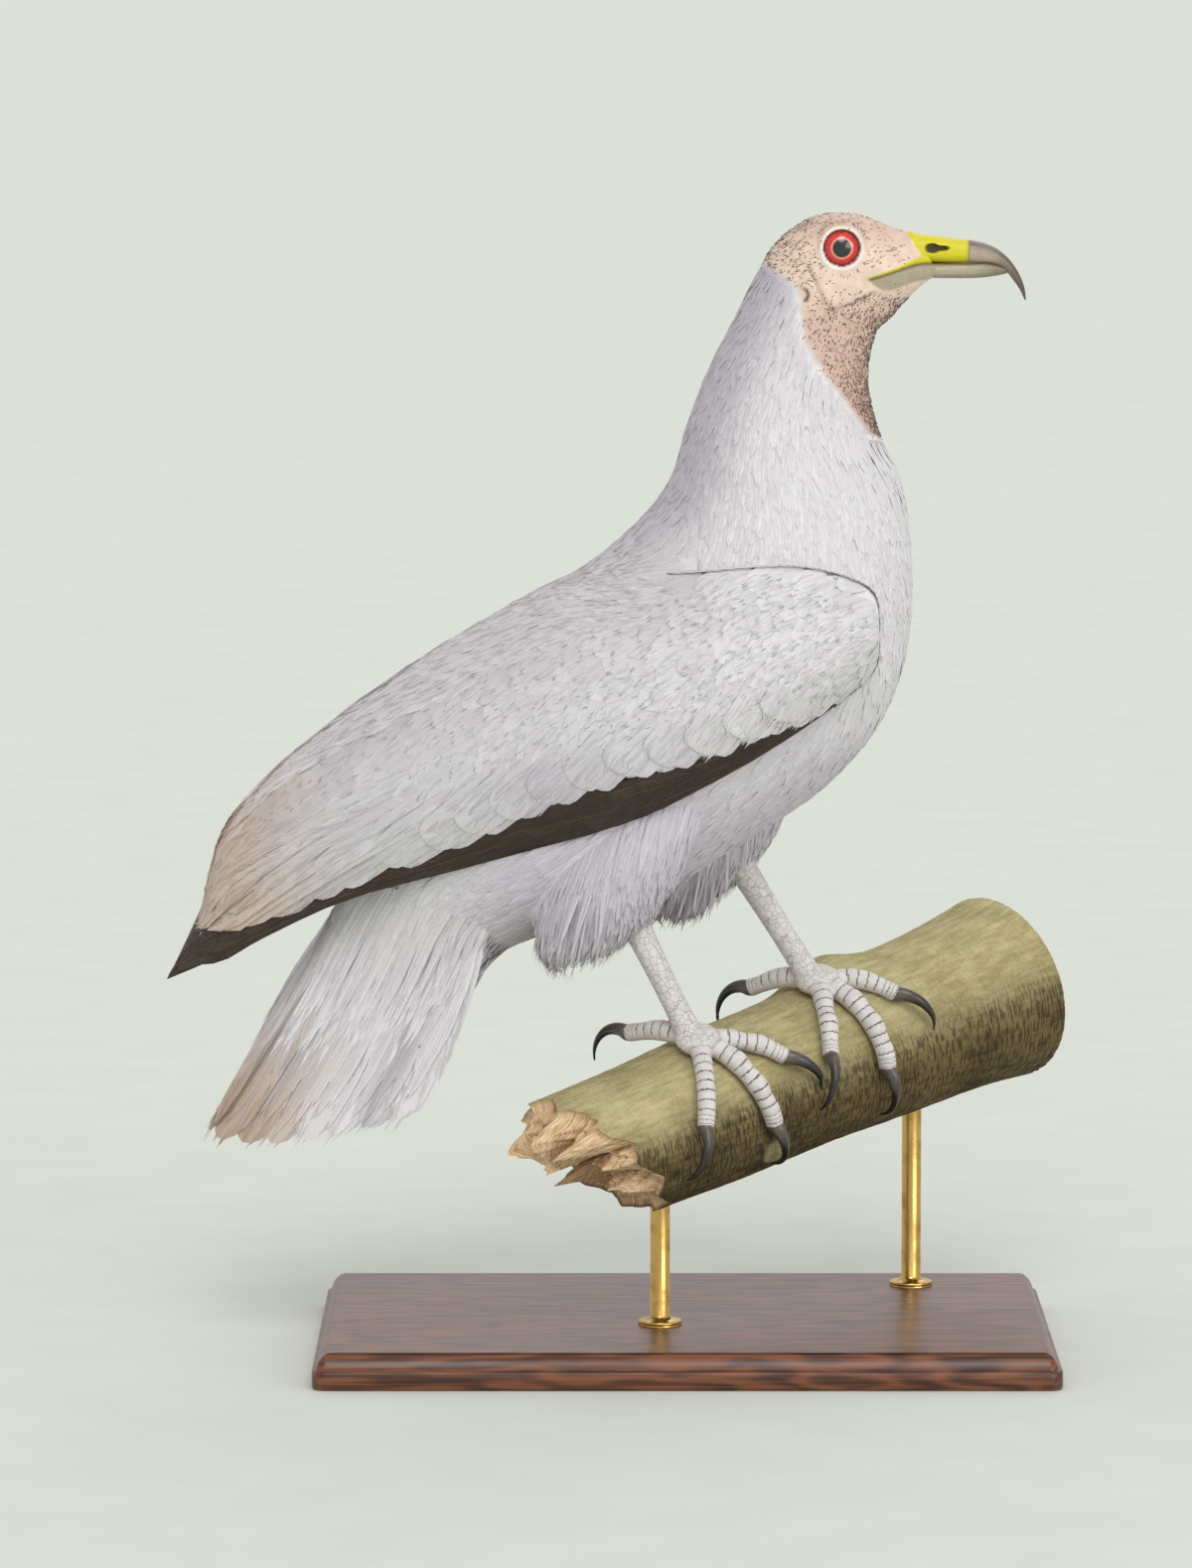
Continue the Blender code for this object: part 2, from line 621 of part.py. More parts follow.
def toe_path(side, heading, bend, length, root_radius, end_radius, lift):
    """The toe's centre line over the bark, as (points, radii), and where it ends on the branch."""
    along, turn = FEET_ON_PERCH[side]
    count = int(round(length / TOE_STEP))
    step = length / count
    points, radii = [], []
    for i in range(count + 1):
        share = i / count
        knuckle = 0.35 * math.sin(3.5 * 2 * math.pi * share)
        radius = root_radius + (end_radius - root_radius) * share + knuckle
        bark = bark_radius(along, turn)
        points.append(perch_place(along, turn, bark + radius + GAP + lift * share**2))
        radii.append(radius)
        if i < count:
            course = math.radians(heading + bend * (share - 0.5))
            along += step * math.sin(course)
            turn += step * math.cos(course) / (bark + radius)
    return points, radii, along, turn


def claw_path(points, along, turn):
    """From the toe's end, an arc that rises a little and then curves down until it meets the bark."""
    ahead = (points[-1] - points[-2]).normalized()
    up = (points[-1] - (PERCH_POINT + PERCH_AXIS * along)).normalized()
    side = ahead.cross(up).normalized()
    up = side.cross(ahead).normalized()
    place = points[-1] + ahead * (GAP + 0.1)
    path = [place]
    for step in range(CLAW_MOST_STEPS):
        angle = CLAW_RISE - CLAW_STEP * (step + 0.5)
        reach = CLAW_CURVE_RADIUS * CLAW_STEP
        place = place + (ahead * math.cos(angle) + up * math.sin(angle)) * reach
        from_axis = place - PERCH_POINT
        here = from_axis.dot(PERCH_AXIS)
        offset = from_axis - PERCH_AXIS * here
        here_turn = math.atan2(offset.dot(PERCH_SIDEWAYS), offset.dot(PERCH_UP))
        lowest = bark_radius(here, here_turn) + CLAW_TIP_RADIUS + 2 * GAP
        if offset.length < lowest:
            path.append(perch_place(here, here_turn, lowest))
            break
        path.append(place)
    shares = np.linspace(0.0, 1.0, len(path))
    radii = [
        CLAW_ROOT_RADIUS + (CLAW_TIP_RADIUS - CLAW_ROOT_RADIUS) * share**0.85 for share in shares
    ]
    return path, radii


def make_foot(side, shank, perch):
    """Three toes forward and one back, each with its claw, wrapped over the branch."""
    made = []
    for name, sizes in TOES[side].items():
        points, radii, along, turn = toe_path(side, *sizes)
        toe = tube(f"{name}_{side}", points, radii, "leg_skin")
        make_room(toe, shank, perch, *made)
        made.append(toe)
        path, radii = claw_path(points, along, turn)
        claw = tube(f"{name}_claw_{side}", path, radii, "claw", resolution=1)
        make_room(claw, toe, perch)


# ---- stand -------------------------------------------------------------------------------------------
def make_base():
    length, width, height = BASE_SIZE
    bpy.ops.mesh.primitive_cube_add(size=1.0, location=(0.0, 0.0, height / 2 * MM))
    base = bpy.context.active_object
    base.name = "stand_base"
    base.data.transform(Matrix.Diagonal((length * MM, width * MM, height * MM, 1.0)))
    corners = base.modifiers.new("Corners", "BEVEL")
    corners.width = BASE_EDGE * MM
    corners.segments = 2
    corners.limit_method = "ANGLE"
    bake(base)
    return finish_object(base, "stand_wood")


def make_rod(name, along, base, perch):
    """A rod with a low collar, from the base up into contact with the branch's underside."""
    x, y, z = PERCH_POINT + PERCH_AXIS * along
    bottom = BASE_SIZE[2] + GAP
    collar_radius, collar_height = ROD_COLLAR
    profile = (
        (collar_radius, bottom),
        (collar_radius, bottom + collar_height - 1.0),
        (collar_radius - 1.0, bottom + collar_height),
        (ROD_RADIUS, bottom + collar_height),
        (ROD_RADIUS, z),
    )
    turns = np.linspace(0.0, 2 * math.pi, ROD_SIDES, endpoint=False)
    rings = [
        [np.array((x + r * math.cos(t), y + r * math.sin(t), h)) for t in turns]
        for r, h in profile
    ]
    rod = loft(name, rings, "stand_metal")
    return make_room(rod, perch)


clear_scene()
MODEL = bpy.data.collections.new("Egyptian vulture")
CUTTERS = bpy.data.collections.new("Cutters")
bpy.context.scene.collection.children.link(MODEL)
bpy.context.scene.collection.children.link(CUTTERS)
MATERIALS = {name: make_material(name) for name in COLOURS}

trunk, neck, head = make_body()
make_eyes(head)
make_bill()
perch = make_perch()
base = make_base()
for rod_name, rod_along in RODS.items():
    make_rod(rod_name, rod_along, base, perch)
wings = {side: make_wing(side, trunk) for side in ("right", "left")}
make_tail(trunk, *wings["right"], *wings["left"])
for side in ("right", "left"):
    thigh = make_thigh(side, trunk, *wings[side])
    shank = make_shank(side, thigh, perch)
    make_foot(side, shank, perch)
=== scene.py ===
"""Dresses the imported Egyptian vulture: skin, feathers, eyes, bill, claws, branch and stand.

The bird faces +X, its right side faces -Y, and Z = 0 is the underside of the stand's base. Named sizes
are in millimetres; meshes are made in millimetres and written in metres.
"""

import math

import bmesh
import bpy
import numpy as np
from mathutils import Matrix, Vector, noise
from mathutils.bvhtree import BVHTree


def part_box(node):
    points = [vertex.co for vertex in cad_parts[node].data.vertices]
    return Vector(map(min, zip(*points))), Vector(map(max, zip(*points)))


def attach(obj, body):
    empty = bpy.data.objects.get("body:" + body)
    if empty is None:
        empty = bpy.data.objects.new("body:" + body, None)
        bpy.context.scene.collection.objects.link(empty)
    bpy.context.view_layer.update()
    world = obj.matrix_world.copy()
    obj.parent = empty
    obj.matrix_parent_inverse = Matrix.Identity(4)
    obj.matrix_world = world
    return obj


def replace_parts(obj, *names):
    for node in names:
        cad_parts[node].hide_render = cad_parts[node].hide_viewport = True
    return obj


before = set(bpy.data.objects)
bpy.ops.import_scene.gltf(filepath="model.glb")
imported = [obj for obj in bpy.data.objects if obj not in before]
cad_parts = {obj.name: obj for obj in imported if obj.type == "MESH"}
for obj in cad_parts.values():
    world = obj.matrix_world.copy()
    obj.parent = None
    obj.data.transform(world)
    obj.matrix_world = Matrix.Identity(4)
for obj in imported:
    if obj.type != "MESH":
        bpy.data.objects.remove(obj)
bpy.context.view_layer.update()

MM = 0.001
SIDES = {"right": -1.0, "left": 1.0}
RANDOM = np.random.default_rng(41)


# ---- shapes shared with the solids -------------------------------------------------------------------
# Body sections from the tail root to the forehead: dorsal (x, z), ventral (x, z), half-width.
BODY = np.array((
    (-183.0, 212.0, -128.0, 176.0, 9.0),
    (-172.5, 235.3, -110.0, 189.0, 20.0),
    (-159.0, 256.9, -95.0, 200.6, 34.0),
    (-145.0, 287.1, -77.5, 209.2, 46.0),
    (-125.0, 322.3, -45.0, 219.2, 57.0),
    (-99.0, 355.0, -2.5, 239.3, 64.0),
    (-68.5, 384.6, 39.0, 264.0, 67.0),
    (-43.5, 402.2, 74.0, 289.6, 69.0),
    (-25.0, 418.8, 101.5, 324.8, 68.0),
    (-15.0, 430.4, 113.5, 372.5, 63.0),
    (-6.5, 443.9, 110.0, 432.9, 54.0),
    (0.5, 468.1, 97.0, 464.5, 45.0),
    (11.0, 495.7, 91.0, 490.2, 36.0),
    (24.0, 521.5, 94.5, 513.5, 28.5),
    (36.0, 545.0, 102.5, 522.5, 24.5),
    (47.0, 561.5, 107.5, 528.5, 23.5),
    (65.0, 572.8, 112.5, 533.2, 22.5),
    (85.0, 573.5, 117.5, 538.0, 18.0),
    (106.0, 566.3, 123.0, 541.8, 10.0),
))
# Wing sections from the wrist to the tip: upper edge (x, z, y), lower edge (x, z, y), reach, thickness,
# and the share of the outer side that white coverts cover.
WING = np.array((
    (95.5, 374.0, 57.0, 95.5, 363.0, 56.0, 62.0, 14.0, 1.0),
    (90.0, 391.0, 54.0, 91.0, 347.0, 56.0, 71.0, 22.0, 1.0),
    (55.0, 402.0, 48.0, 58.0, 321.0, 61.0, 79.0, 26.0, 0.975),
    (5.0, 399.0, 43.0, 17.0, 297.0, 65.0, 84.0, 26.0, 0.90),
    (-52.0, 391.0, 28.0, -28.0, 275.7, 64.0, 83.0, 22.0, 0.82),
    (-104.0, 365.0, 9.0, -75.0, 262.0, 58.0, 76.0, 14.0, 0.835),
    (-145.0, 339.0, 4.0, -122.0, 247.5, 48.0, 64.0, 9.0, 0.88),
    (-180.0, 313.0, 2.5, -168.0, 234.0, 37.0, 49.0, 6.0, 0.92),
    (-210.0, 287.5, 2.5, -206.0, 216.5, 27.0, 36.0, 5.0, 0.885),
    (-233.0, 260.0, 2.5, -228.0, 205.5, 21.0, 26.0, 4.0, 0.79),
    (-243.0, 228.0, 2.5, -243.0, 197.5, 15.0, 18.0, 3.0, 0.46),
    (-258.0, 195.0, 6.5, -261.5, 189.0, 8.5, 8.5, 1.8, 0.0),
))
# Thigh sections from the flank to the knee: front (x, z), rear (x, z), with y and the half-width.
THIGH = np.array((
    (25.0, 302.0, -62.0, 264.0, 34.0, 26.0),
    (6.0, 264.0, -71.0, 240.0, 36.0, 27.0),
    (-8.0, 238.0, -74.0, 221.0, 37.0, 22.0),
    (-21.0, 221.0, -73.0, 207.0, 37.0, 15.0),
    (-36.0, 209.0, -66.0, 199.0, 37.0, 6.0),
))
# How far the left leg steps ahead of the right one.
LEFT_STEP = np.array((51.0, 17.0, 51.0, 17.0, 0.0, 0.0))
EYE_CENTRE = np.array((77.3, 13.0, 557.6))
EYE_RADIUS, EYE_BULGE = 11.0, 9.6  # the eye's front is flatter than a ball
# Bill sections from the face forwards: upper edge (x, z), lower edge (x, z), half-width.
CERE = np.array((
    (104.0, 565.4, 115.5, 550.0, 9.5),
    (117.0, 564.0, 121.5, 549.8, 8.4),
    (130.0, 562.4, 130.5, 549.6, 7.4),
    (141.3, 561.0, 141.3, 549.6, 6.6),
))
UPPER_BILL = np.array((
    (141.5, 561.0, 141.5, 549.6, 6.6),
    (148.5, 559.6, 148.0, 549.4, 6.0),
    (155.5, 556.6, 153.5, 549.0, 5.2),
    (162.0, 551.0, 158.8, 546.6, 4.2),
    (166.8, 543.8, 163.4, 541.2, 3.0),
    (169.4, 537.0, 167.0, 536.2, 1.8),
    (170.2, 531.2, 169.4, 531.0, 0.7),
))
LOWER_BILL = np.array((
    (115.5, 549.8, 120.5, 542.0, 7.6),
    (128.0, 549.9, 129.0, 541.8, 6.9),
    (142.0, 550.2, 142.0, 541.8, 5.6),
    (151.0, 550.2, 151.0, 542.4, 4.2),
    (158.5, 548.6, 159.0, 543.8, 2.6),
    (161.8, 546.2, 162.0, 545.0, 0.9),
))
TAIL_FEATHERS = 14
TAIL_ROOT = np.array((-134.0, 0.0, 275.0))
TAIL_SLOPE, TAIL_ROLL, TAIL_ROOF = (math.radians(a) for a in (58.5, 36.0, 32.0))
TAIL_HALF_WIDTHS = (52.0, 84.0)
TAIL_LENGTH, TAIL_STEP = 200.0, 70.0
TAIL_DOWN = np.array((-math.cos(TAIL_SLOPE), 0.0, -math.sin(TAIL_SLOPE)))
TAIL_UP = np.array((-math.sin(TAIL_SLOPE), 0.0, math.cos(TAIL_SLOPE)))

# The feather edge on the side of the face and throat: skin in front of x, at each z, is bare.
BARE_Z = (440.0, 455.0, 465.1, 472.6, 483.5, 495.8, 510.7, 522.0, 530.4, 537.5, 542.2, 547.0, 551.0, 556.0)
BARE_X = (140.0, 115.0, 91.7, 86.7, 78.7, 68.8, 59.9, 57.8, 58.2, 56.0, 50.9, 44.0, 34.0, 20.0)


# ---- helpers -----------------------------------------------------------------------------------------
def linear(red, green, blue):
    """An sRGB colour, 0 to 255, as linear values."""
    share = np.array((red, green, blue)) / 255.0
    return np.where(share <= 0.04045, share / 12.92, ((share + 0.055) / 1.055) ** 2.4)


def unit(vectors):
    return vectors / np.maximum(np.linalg.norm(vectors, axis=-1, keepdims=True), 1e-9)


def smooth_step(value, low, high):
    share = np.clip((np.asarray(value, float) - low) / (high - low), 0.0, 1.0)
    return share * share * (3.0 - 2.0 * share)


def bump_at(value, centre, width):
    return np.exp(-(((value - centre) / width) ** 2))


def full_turn(count):
    """Evenly spaced angles round a circle."""
    return np.linspace(0.0, 2 * math.pi, count, endpoint=False)


def run_along(points):
    """Distances along a line of points from its start."""
    return np.concatenate(((0.0,), np.cumsum(np.linalg.norm(np.diff(points, axis=0), axis=1))))


def mix(first, second, share):
    share = np.asarray(share)[..., None]
    return first * (1.0 - share) + second * share


def spline(rows, where):
    """Catmull-Rom interpolation through rows of numbers, at positions counted in rows."""
    where = np.atleast_1d(np.asarray(where, float))
    i = np.clip(np.floor(where).astype(int), 0, len(rows) - 2)
    t = (where - i)[:, None]
    before, after = rows[np.maximum(i - 1, 0)], rows[np.minimum(i + 2, len(rows) - 1)]
    a, b = rows[i], rows[i + 1]
    return 0.5 * (
        2 * a
        + (b - before) * t
        + (2 * before - 5 * a + 4 * b - after) * t**2
        + (3 * a - before - 3 * b + after) * t**3
    )


def section_point(rows, where, turn, squareness=2.0):
    """Points of an oval loft: turn 0 is the left side, a quarter is the back, minus a quarter the front."""
    row = spline(rows, where)
    up, across = np.sin(turn), np.cos(turn)
    size = (np.abs(up) ** squareness + np.abs(across) ** squareness) ** (-1.0 / squareness)
    x = (row[:, 0] + row[:, 2]) / 2 + (row[:, 0] - row[:, 2]) / 2 * up * size
    z = (row[:, 1] + row[:, 3]) / 2 + (row[:, 1] - row[:, 3]) / 2 * up * size
    return np.stack((x, row[:, 4] * across * size, z), axis=-1)


def section_rings(rows, first, last, count, sides, squareness=(2.0, 2.0)):
    turns = full_turn(sides)
    powers = np.linspace(*squareness, count)
    return [
        section_point(rows, np.full(sides, u), turns, power)
        for u, power in zip(np.linspace(first, last, count), powers)
    ]


def tube_rings(points, radii, sides, flatness=1.0):
    """Rings round a centre line; flatness below 1 makes them narrower than they are high."""
    points = np.asarray(points, float)
    ahead = unit(np.gradient(points, axis=0))
    across = unit(np.cross(ahead, (0.0, 0.0, 1.0)))
    up = np.cross(across, ahead)
    turns = full_turn(sides)
    ring = np.cos(turns)[None, :, None] * across[:, None] * flatness
    ring = ring + np.sin(turns)[None, :, None] * up[:, None]
    return points[:, None] + ring * np.asarray(radii)[:, None, None]


def ball_rings(centre, radii, rings=24, sides=40):
    """An ellipsoid's rings, with its poles on the Y axis."""
    angles = np.linspace(0.02, math.pi - 0.02, rings)[:, None]
    turns = full_turn(sides)
    x = np.sin(angles) * np.cos(turns) * radii[0]
    y = np.repeat(np.cos(angles), sides, axis=1) * radii[1]
    z = np.sin(angles) * np.sin(turns) * radii[2]
    return np.stack((x, y, z), axis=-1) + np.asarray(centre)


def resampled(points, radii, step):
    """A path and its radii at even steps along a smooth curve through them."""
    rows = np.column_stack((points, radii))
    fine = spline(rows, np.linspace(0, len(rows) - 1, 40 * len(rows)))
    along = run_along(fine[:, :3])
    places = np.linspace(0.0, along[-1], max(int(along[-1] / step), 2))
    even = np.column_stack([np.interp(places, along, fine[:, k]) for k in range(4)])
    return even[:, :3], even[:, 3]


def line_distance(points, line):
    """Each point's distance, in side view, from a line of (x, z) corners."""
    place = points[:, [0, 2]]
    best = np.full(len(points), 1e9)
    for start, end in zip(np.array(line[:-1]), np.array(line[1:])):
        run = end - start
        share = np.clip((place - start) @ run / (run @ run), 0.0, 1.0)
        best = np.minimum(best, np.linalg.norm(place - start - share[:, None] * run, axis=1))
    return best


def side_gap(points, x, z):
    """Each point's distance, in side view, from a place."""
    return np.hypot(points[:, 0] - x, points[:, 2] - z)


def eye_gap(points):
    return side_gap(points, *EYE_CENTRE[[0, 2]])


def side_share(points):
    """1 on the head's sides and 0 along its middle."""
    return smooth_step(np.abs(points[:, 1]), 3.0, 8.0)


def between(points, upper, lower, soft=0.5):
    """1 between two lines of (x, z) corners, in side view, and 0 outside, over the lines' own length."""
    top = np.interp(points[:, 0], *np.array(upper).T)
    bottom = np.interp(points[:, 0], *np.array(lower).T)
    inside = smooth_step(top - points[:, 2], -soft, soft) * smooth_step(points[:, 2] - bottom, -soft, soft)
    return inside * smooth_step(points[:, 0], upper[0][0] - 1.0, upper[0][0] + 1.0)


# ---- meshes ------------------------------------------------------------------------------------------
def quad_mesh(name, points, quads, colours=None, floats=None, uv=None, sharp=None):
    """A smooth-shaded mesh object from points in millimetres and rows of four corners."""
    mesh = bpy.data.meshes.new(name)
    mesh.vertices.add(len(points))
    mesh.vertices.foreach_set("co", (points * MM).astype(np.float32).ravel())
    mesh.loops.add(quads.size)
    mesh.loops.foreach_set("vertex_index", quads.astype(np.int32).ravel())
    mesh.polygons.add(len(quads))
    mesh.polygons.foreach_set("loop_start", np.arange(0, quads.size, 4, dtype=np.int32))
    mesh.update(calc_edges=True)
    mesh.validate()
    mesh.shade_smooth()
    if sharp is not None:
        mesh.set_sharp_from_angle(angle=math.radians(sharp))
    if colours is not None:
        tint = np.ones((len(points), 4), np.float32)
        tint[:, :3] = colours
        mesh.attributes.new("tint", "FLOAT_COLOR", "POINT").data.foreach_set("color", tint.ravel())
    for key, values in (floats or {}).items():
        target = mesh.attributes.new(key, "FLOAT", "POINT")
        target.data.foreach_set("value", np.asarray(values, np.float32).ravel())
    if uv is not None:
        layer = mesh.uv_layers.new(name="OFBake")
        layer.data.foreach_set("uv", uv[quads.ravel()].astype(np.float32).ravel())
    obj = bpy.data.objects.new(name, mesh)
    bpy.context.scene.collection.objects.link(obj)
    return obj


def points_of(mesh):
    points = np.empty(len(mesh.vertices) * 3, np.float32)
    mesh.vertices.foreach_get("co", points)
    return points.reshape(-1, 3) / MM


def normals_of(mesh):
    normals = np.empty(len(mesh.vertices) * 3, np.float32)
    mesh.vertex_normals.foreach_get("vector", normals)
    return normals.reshape(-1, 3).astype(float)


def quads_of(mesh):
    corners = np.empty(len(mesh.loops), np.int32)
    mesh.loops.foreach_get("vertex_index", corners)
    return corners.reshape(-1, 4)


def evaluated(obj):
    """The object's mesh with its modifiers applied; the object itself is removed."""
    graph = bpy.context.evaluated_depsgraph_get()
    bpy.context.view_layer.update()
    mesh = bpy.data.meshes.new_from_object(obj.evaluated_get(graph))
    bpy.data.objects.remove(obj)
    return mesh


def fused(mesh, voxel, smoothing):
    """The mesh fused into one even quad mesh at the voxel size, and smoothed."""
    obj = bpy.data.objects.new("fused", mesh)
    bpy.context.scene.collection.objects.link(obj)
    even = obj.modifiers.new("Even", "REMESH")
    even.mode = "VOXEL"
    even.voxel_size = voxel * MM
    softer = obj.modifiers.new("Softer", "SMOOTH")
    softer.factor = 0.5
    softer.iterations = smoothing
    return evaluated(obj)


def loft_mesh(rings):
    """A closed mesh through rings of equally many points, in millimetres."""
    rings = np.asarray(rings)
    count, sides = rings.shape[:2]
    faces = [tuple(range(sides))[::-1], tuple(range((count - 1) * sides, count * sides))]
    for r in range(count - 1):
        for k in range(sides):
            a, b = r * sides + k, r * sides + (k + 1) % sides
            faces.append((a, b, b + sides, a + sides))
    mesh = bpy.data.meshes.new("loft")
    mesh.from_pydata((rings.reshape(-1, 3) * MM).tolist(), [], faces)
    return mesh


def joined(*meshes):
    """One mesh of several."""
    work = bmesh.new()
    for mesh in meshes:
        work.from_mesh(mesh)
        bpy.data.meshes.remove(mesh)
    bmesh.ops.recalc_face_normals(work, faces=work.faces)
    mesh = bpy.data.meshes.new("joined")
    work.to_mesh(mesh)
    work.free()
    return mesh


def stack(*parts):
    """Joins (points, quads, ...) arrays into one set."""
    shift, quads = 0, []
    for part in parts:
        quads.append(part[1] + shift)
        shift += len(part[0])
    return [np.concatenate([p[0] for p in parts]), np.concatenate(quads)] + [
        np.concatenate([p[k] for p in parts]) for k in range(2, len(parts[0]))
    ]


def ring_quads(count, sides, closed=True):
    """The quads between rings of equally many points."""
    r, k = np.meshgrid(np.arange(count - 1), np.arange(sides if closed else sides - 1), indexing="ij")
    a, b = r * sides + k, r * sides + (k + 1) % sides
    return np.stack((a, b, b + sides, a + sides), axis=-1).reshape(-1, 4)


def ring_surface(rings, closed=True):
    rings = np.asarray(rings)
    return Surface(rings.reshape(-1, 3), ring_quads(*rings.shape[:2], closed))


class Surface:
    """A smooth surface that finds the place and normal nearest to a point."""

    def __init__(self, points, quads):
        self.points, self.quads = points, quads
        corner = points[quads]
        flat = unit(np.cross(corner[:, 2] - corner[:, 0], corner[:, 3] - corner[:, 1]))
        if np.sum(flat * (corner.mean(axis=1) - points.mean(axis=0))) < 0:
            flat = -flat
        smooth = np.zeros_like(points)
        for k in range(4):
            np.add.at(smooth, quads[:, k], flat)
        self.normals = unit(unit(smooth)[quads].mean(axis=1))
        self.tree = BVHTree.FromPolygons(points.tolist(), quads.tolist())

    def nearest(self, points):
        found = [self.tree.find_nearest(p) for p in points.tolist()]
        places = np.array([tuple(f[0]) for f in found])
        return places, self.normals[[f[2] for f in found]], np.array([f[3] for f in found])

    def reach(self, x, z):
        """How far the surface reaches from the midline at that place, or None beside it."""
        hit = self.tree.ray_cast((x, 500.0, z), (0.0, -1.0, 0.0))[0]
        return hit[1] if hit else None


# ---- the branch, and the toes' and claws' paths over it ----------------------------------------------
HOCKS = {"right": (-34.0, -34.0, 238.0), "left": (20.5, 34.0, 255.0)}
SHANK_RADII = (8.0, 7.2, 6.4, 6.1, 6.8)
FOOT_PAD = (12.0, 12.0, 7.0)
# Heading at mid-length, turn along the toe, length, root and end radii, and lift at the end.
TOES = {
    "right": {
        "middle_toe": (16.0, -10.0, 61.0, 5.4, 4.5, 0.0),
        "inner_toe": (50.0, -30.0, 47.0, 5.0, 4.3, 0.0),
        "outer_toe": (-31.0, 8.0, 53.0, 5.0, 4.3, 0.0),
        "hind_toe": (193.0, 0.0, 40.0, 5.3, 4.6, 8.0),
    },
    "left": {
        "middle_toe": (5.0, -16.0, 62.0, 5.4, 4.5, 0.0),
        "outer_toe": (44.0, -36.0, 42.0, 5.0, 4.3, 0.0),
        "inner_toe": (-31.0, 8.0, 51.0, 5.0, 4.3, 0.0),
        "hind_toe": (199.0, 0.0, 39.0, 5.3, 4.6, 4.0),
    },
}
TOE_STEP = 8.0
TOE_CLEARANCE = 0.3
CLAW_CURVE_RADIUS = 16.0
CLAW_RISE, CLAW_STEP = math.radians(34.0), math.radians(15.0)
CLAW_ROOT_RADIUS, CLAW_TIP_RADIUS = 4.2, 0.5
CLAW_MOST_STEPS = 8
PERCH_POINT = Vector((9.0, -15.7, 123.4))
PERCH_AXIS = Vector((0.7245, 0.6523, 0.208)).normalized()
PERCH_SIDEWAYS = PERCH_AXIS.cross(Vector((0.0, 0.0, 1.0))).normalized()
PERCH_UP = PERCH_SIDEWAYS.cross(PERCH_AXIS).normalized()
PERCH_TO = 214.0
PERCH_BREAK = (-74.0, 26.0)
PERCH_RADIUS, PERCH_TAPER, PERCH_FLARE = 39.0, 0.022, 5.0
KNOT = (104.0, math.radians(-22.0), 9.0, 21.0)
FEET_ON_PERCH = {"right": (-9.0, math.radians(20.0)), "left": (80.5, math.radians(13.0))}


def bark_radius(along, turn):
    """The branch's radius at a place along its axis and an angle from its top towards the near side."""
    knot_along, knot_turn, height, spread = KNOT
    radius = PERCH_RADIUS + PERCH_TAPER * along
    radius = radius + PERCH_FLARE * np.maximum(np.asarray(along) / PERCH_TO, 0.0) ** 4
    away = np.hypot(along - knot_along, radius * (turn - knot_turn))
    wave = 0.6 * np.sin(along * 0.055 + 1.0) * np.cos(2 * turn)
    return radius + wave + height * np.exp(-((away / spread) ** 2))


def perch_place(along, turn, distance):
    """A point at that distance from the branch's axis."""
    outward = PERCH_UP * math.cos(turn) + PERCH_SIDEWAYS * math.sin(turn)
    return PERCH_POINT + PERCH_AXIS * along + outward * distance


def pad_centre(side):
    along, turn = FEET_ON_PERCH[side]
    return perch_place(along, turn, bark_radius(along, turn) + FOOT_PAD[2] - 1.0)


def toe_path(side, heading, bend, length, root_radius, end_radius, lift):
    """The toe's centre line over the bark, as (points, radii), and where it ends on the branch."""
    along, turn = FEET_ON_PERCH[side]
    count = int(round(length / TOE_STEP))
    step = length / count
    points, radii = [], []
    for i in range(count + 1):
        share = i / count
        knuckle = 0.35 * math.sin(3.5 * 2 * math.pi * share)
        radius = root_radius + (end_radius - root_radius) * share + knuckle
        bark = bark_radius(along, turn)
        points.append(perch_place(along, turn, bark + radius + TOE_CLEARANCE + lift * share**2))
        radii.append(radius)
        if i < count:
            course = math.radians(heading + bend * (share - 0.5))
            along += step * math.sin(course)
            turn += step * math.cos(course) / (bark + radius)
    return points, radii, along


def claw_path(points, along):
    """From the toe's end, an arc that rises a little and then curves down until it meets the bark."""
    ahead = (points[-1] - points[-2]).normalized()
    up = (points[-1] - (PERCH_POINT + PERCH_AXIS * along)).normalized()
    up = ahead.cross(up).normalized().cross(ahead).normalized()
    place = points[-1] + ahead * 0.4
    path = [place]
    for step in range(CLAW_MOST_STEPS):
        angle = CLAW_RISE - CLAW_STEP * (step + 0.5)
        place = place + (ahead * math.cos(angle) + up * math.sin(angle)) * CLAW_CURVE_RADIUS * CLAW_STEP
        from_axis = place - PERCH_POINT
        here = from_axis.dot(PERCH_AXIS)
        offset = from_axis - PERCH_AXIS * here
        here_turn = math.atan2(offset.dot(PERCH_SIDEWAYS), offset.dot(PERCH_UP))
        lowest = bark_radius(here, here_turn) + CLAW_TIP_RADIUS + 2 * TOE_CLEARANCE
        if offset.length < lowest:
            path.append(perch_place(here, here_turn, lowest))
            break
        path.append(place)
    shares = np.linspace(0.0, 1.0, len(path)) ** 0.85
    return path, CLAW_ROOT_RADIUS + (CLAW_TIP_RADIUS - CLAW_ROOT_RADIUS) * shares


# ---- surfaces that the coat is laid over -------------------------------------------------------------
def body_point(u, turn):
    return section_point(BODY, u, turn)


BODY_SURFACE = ring_surface(section_rings(BODY, 0.0, 14.5, 150, 96))


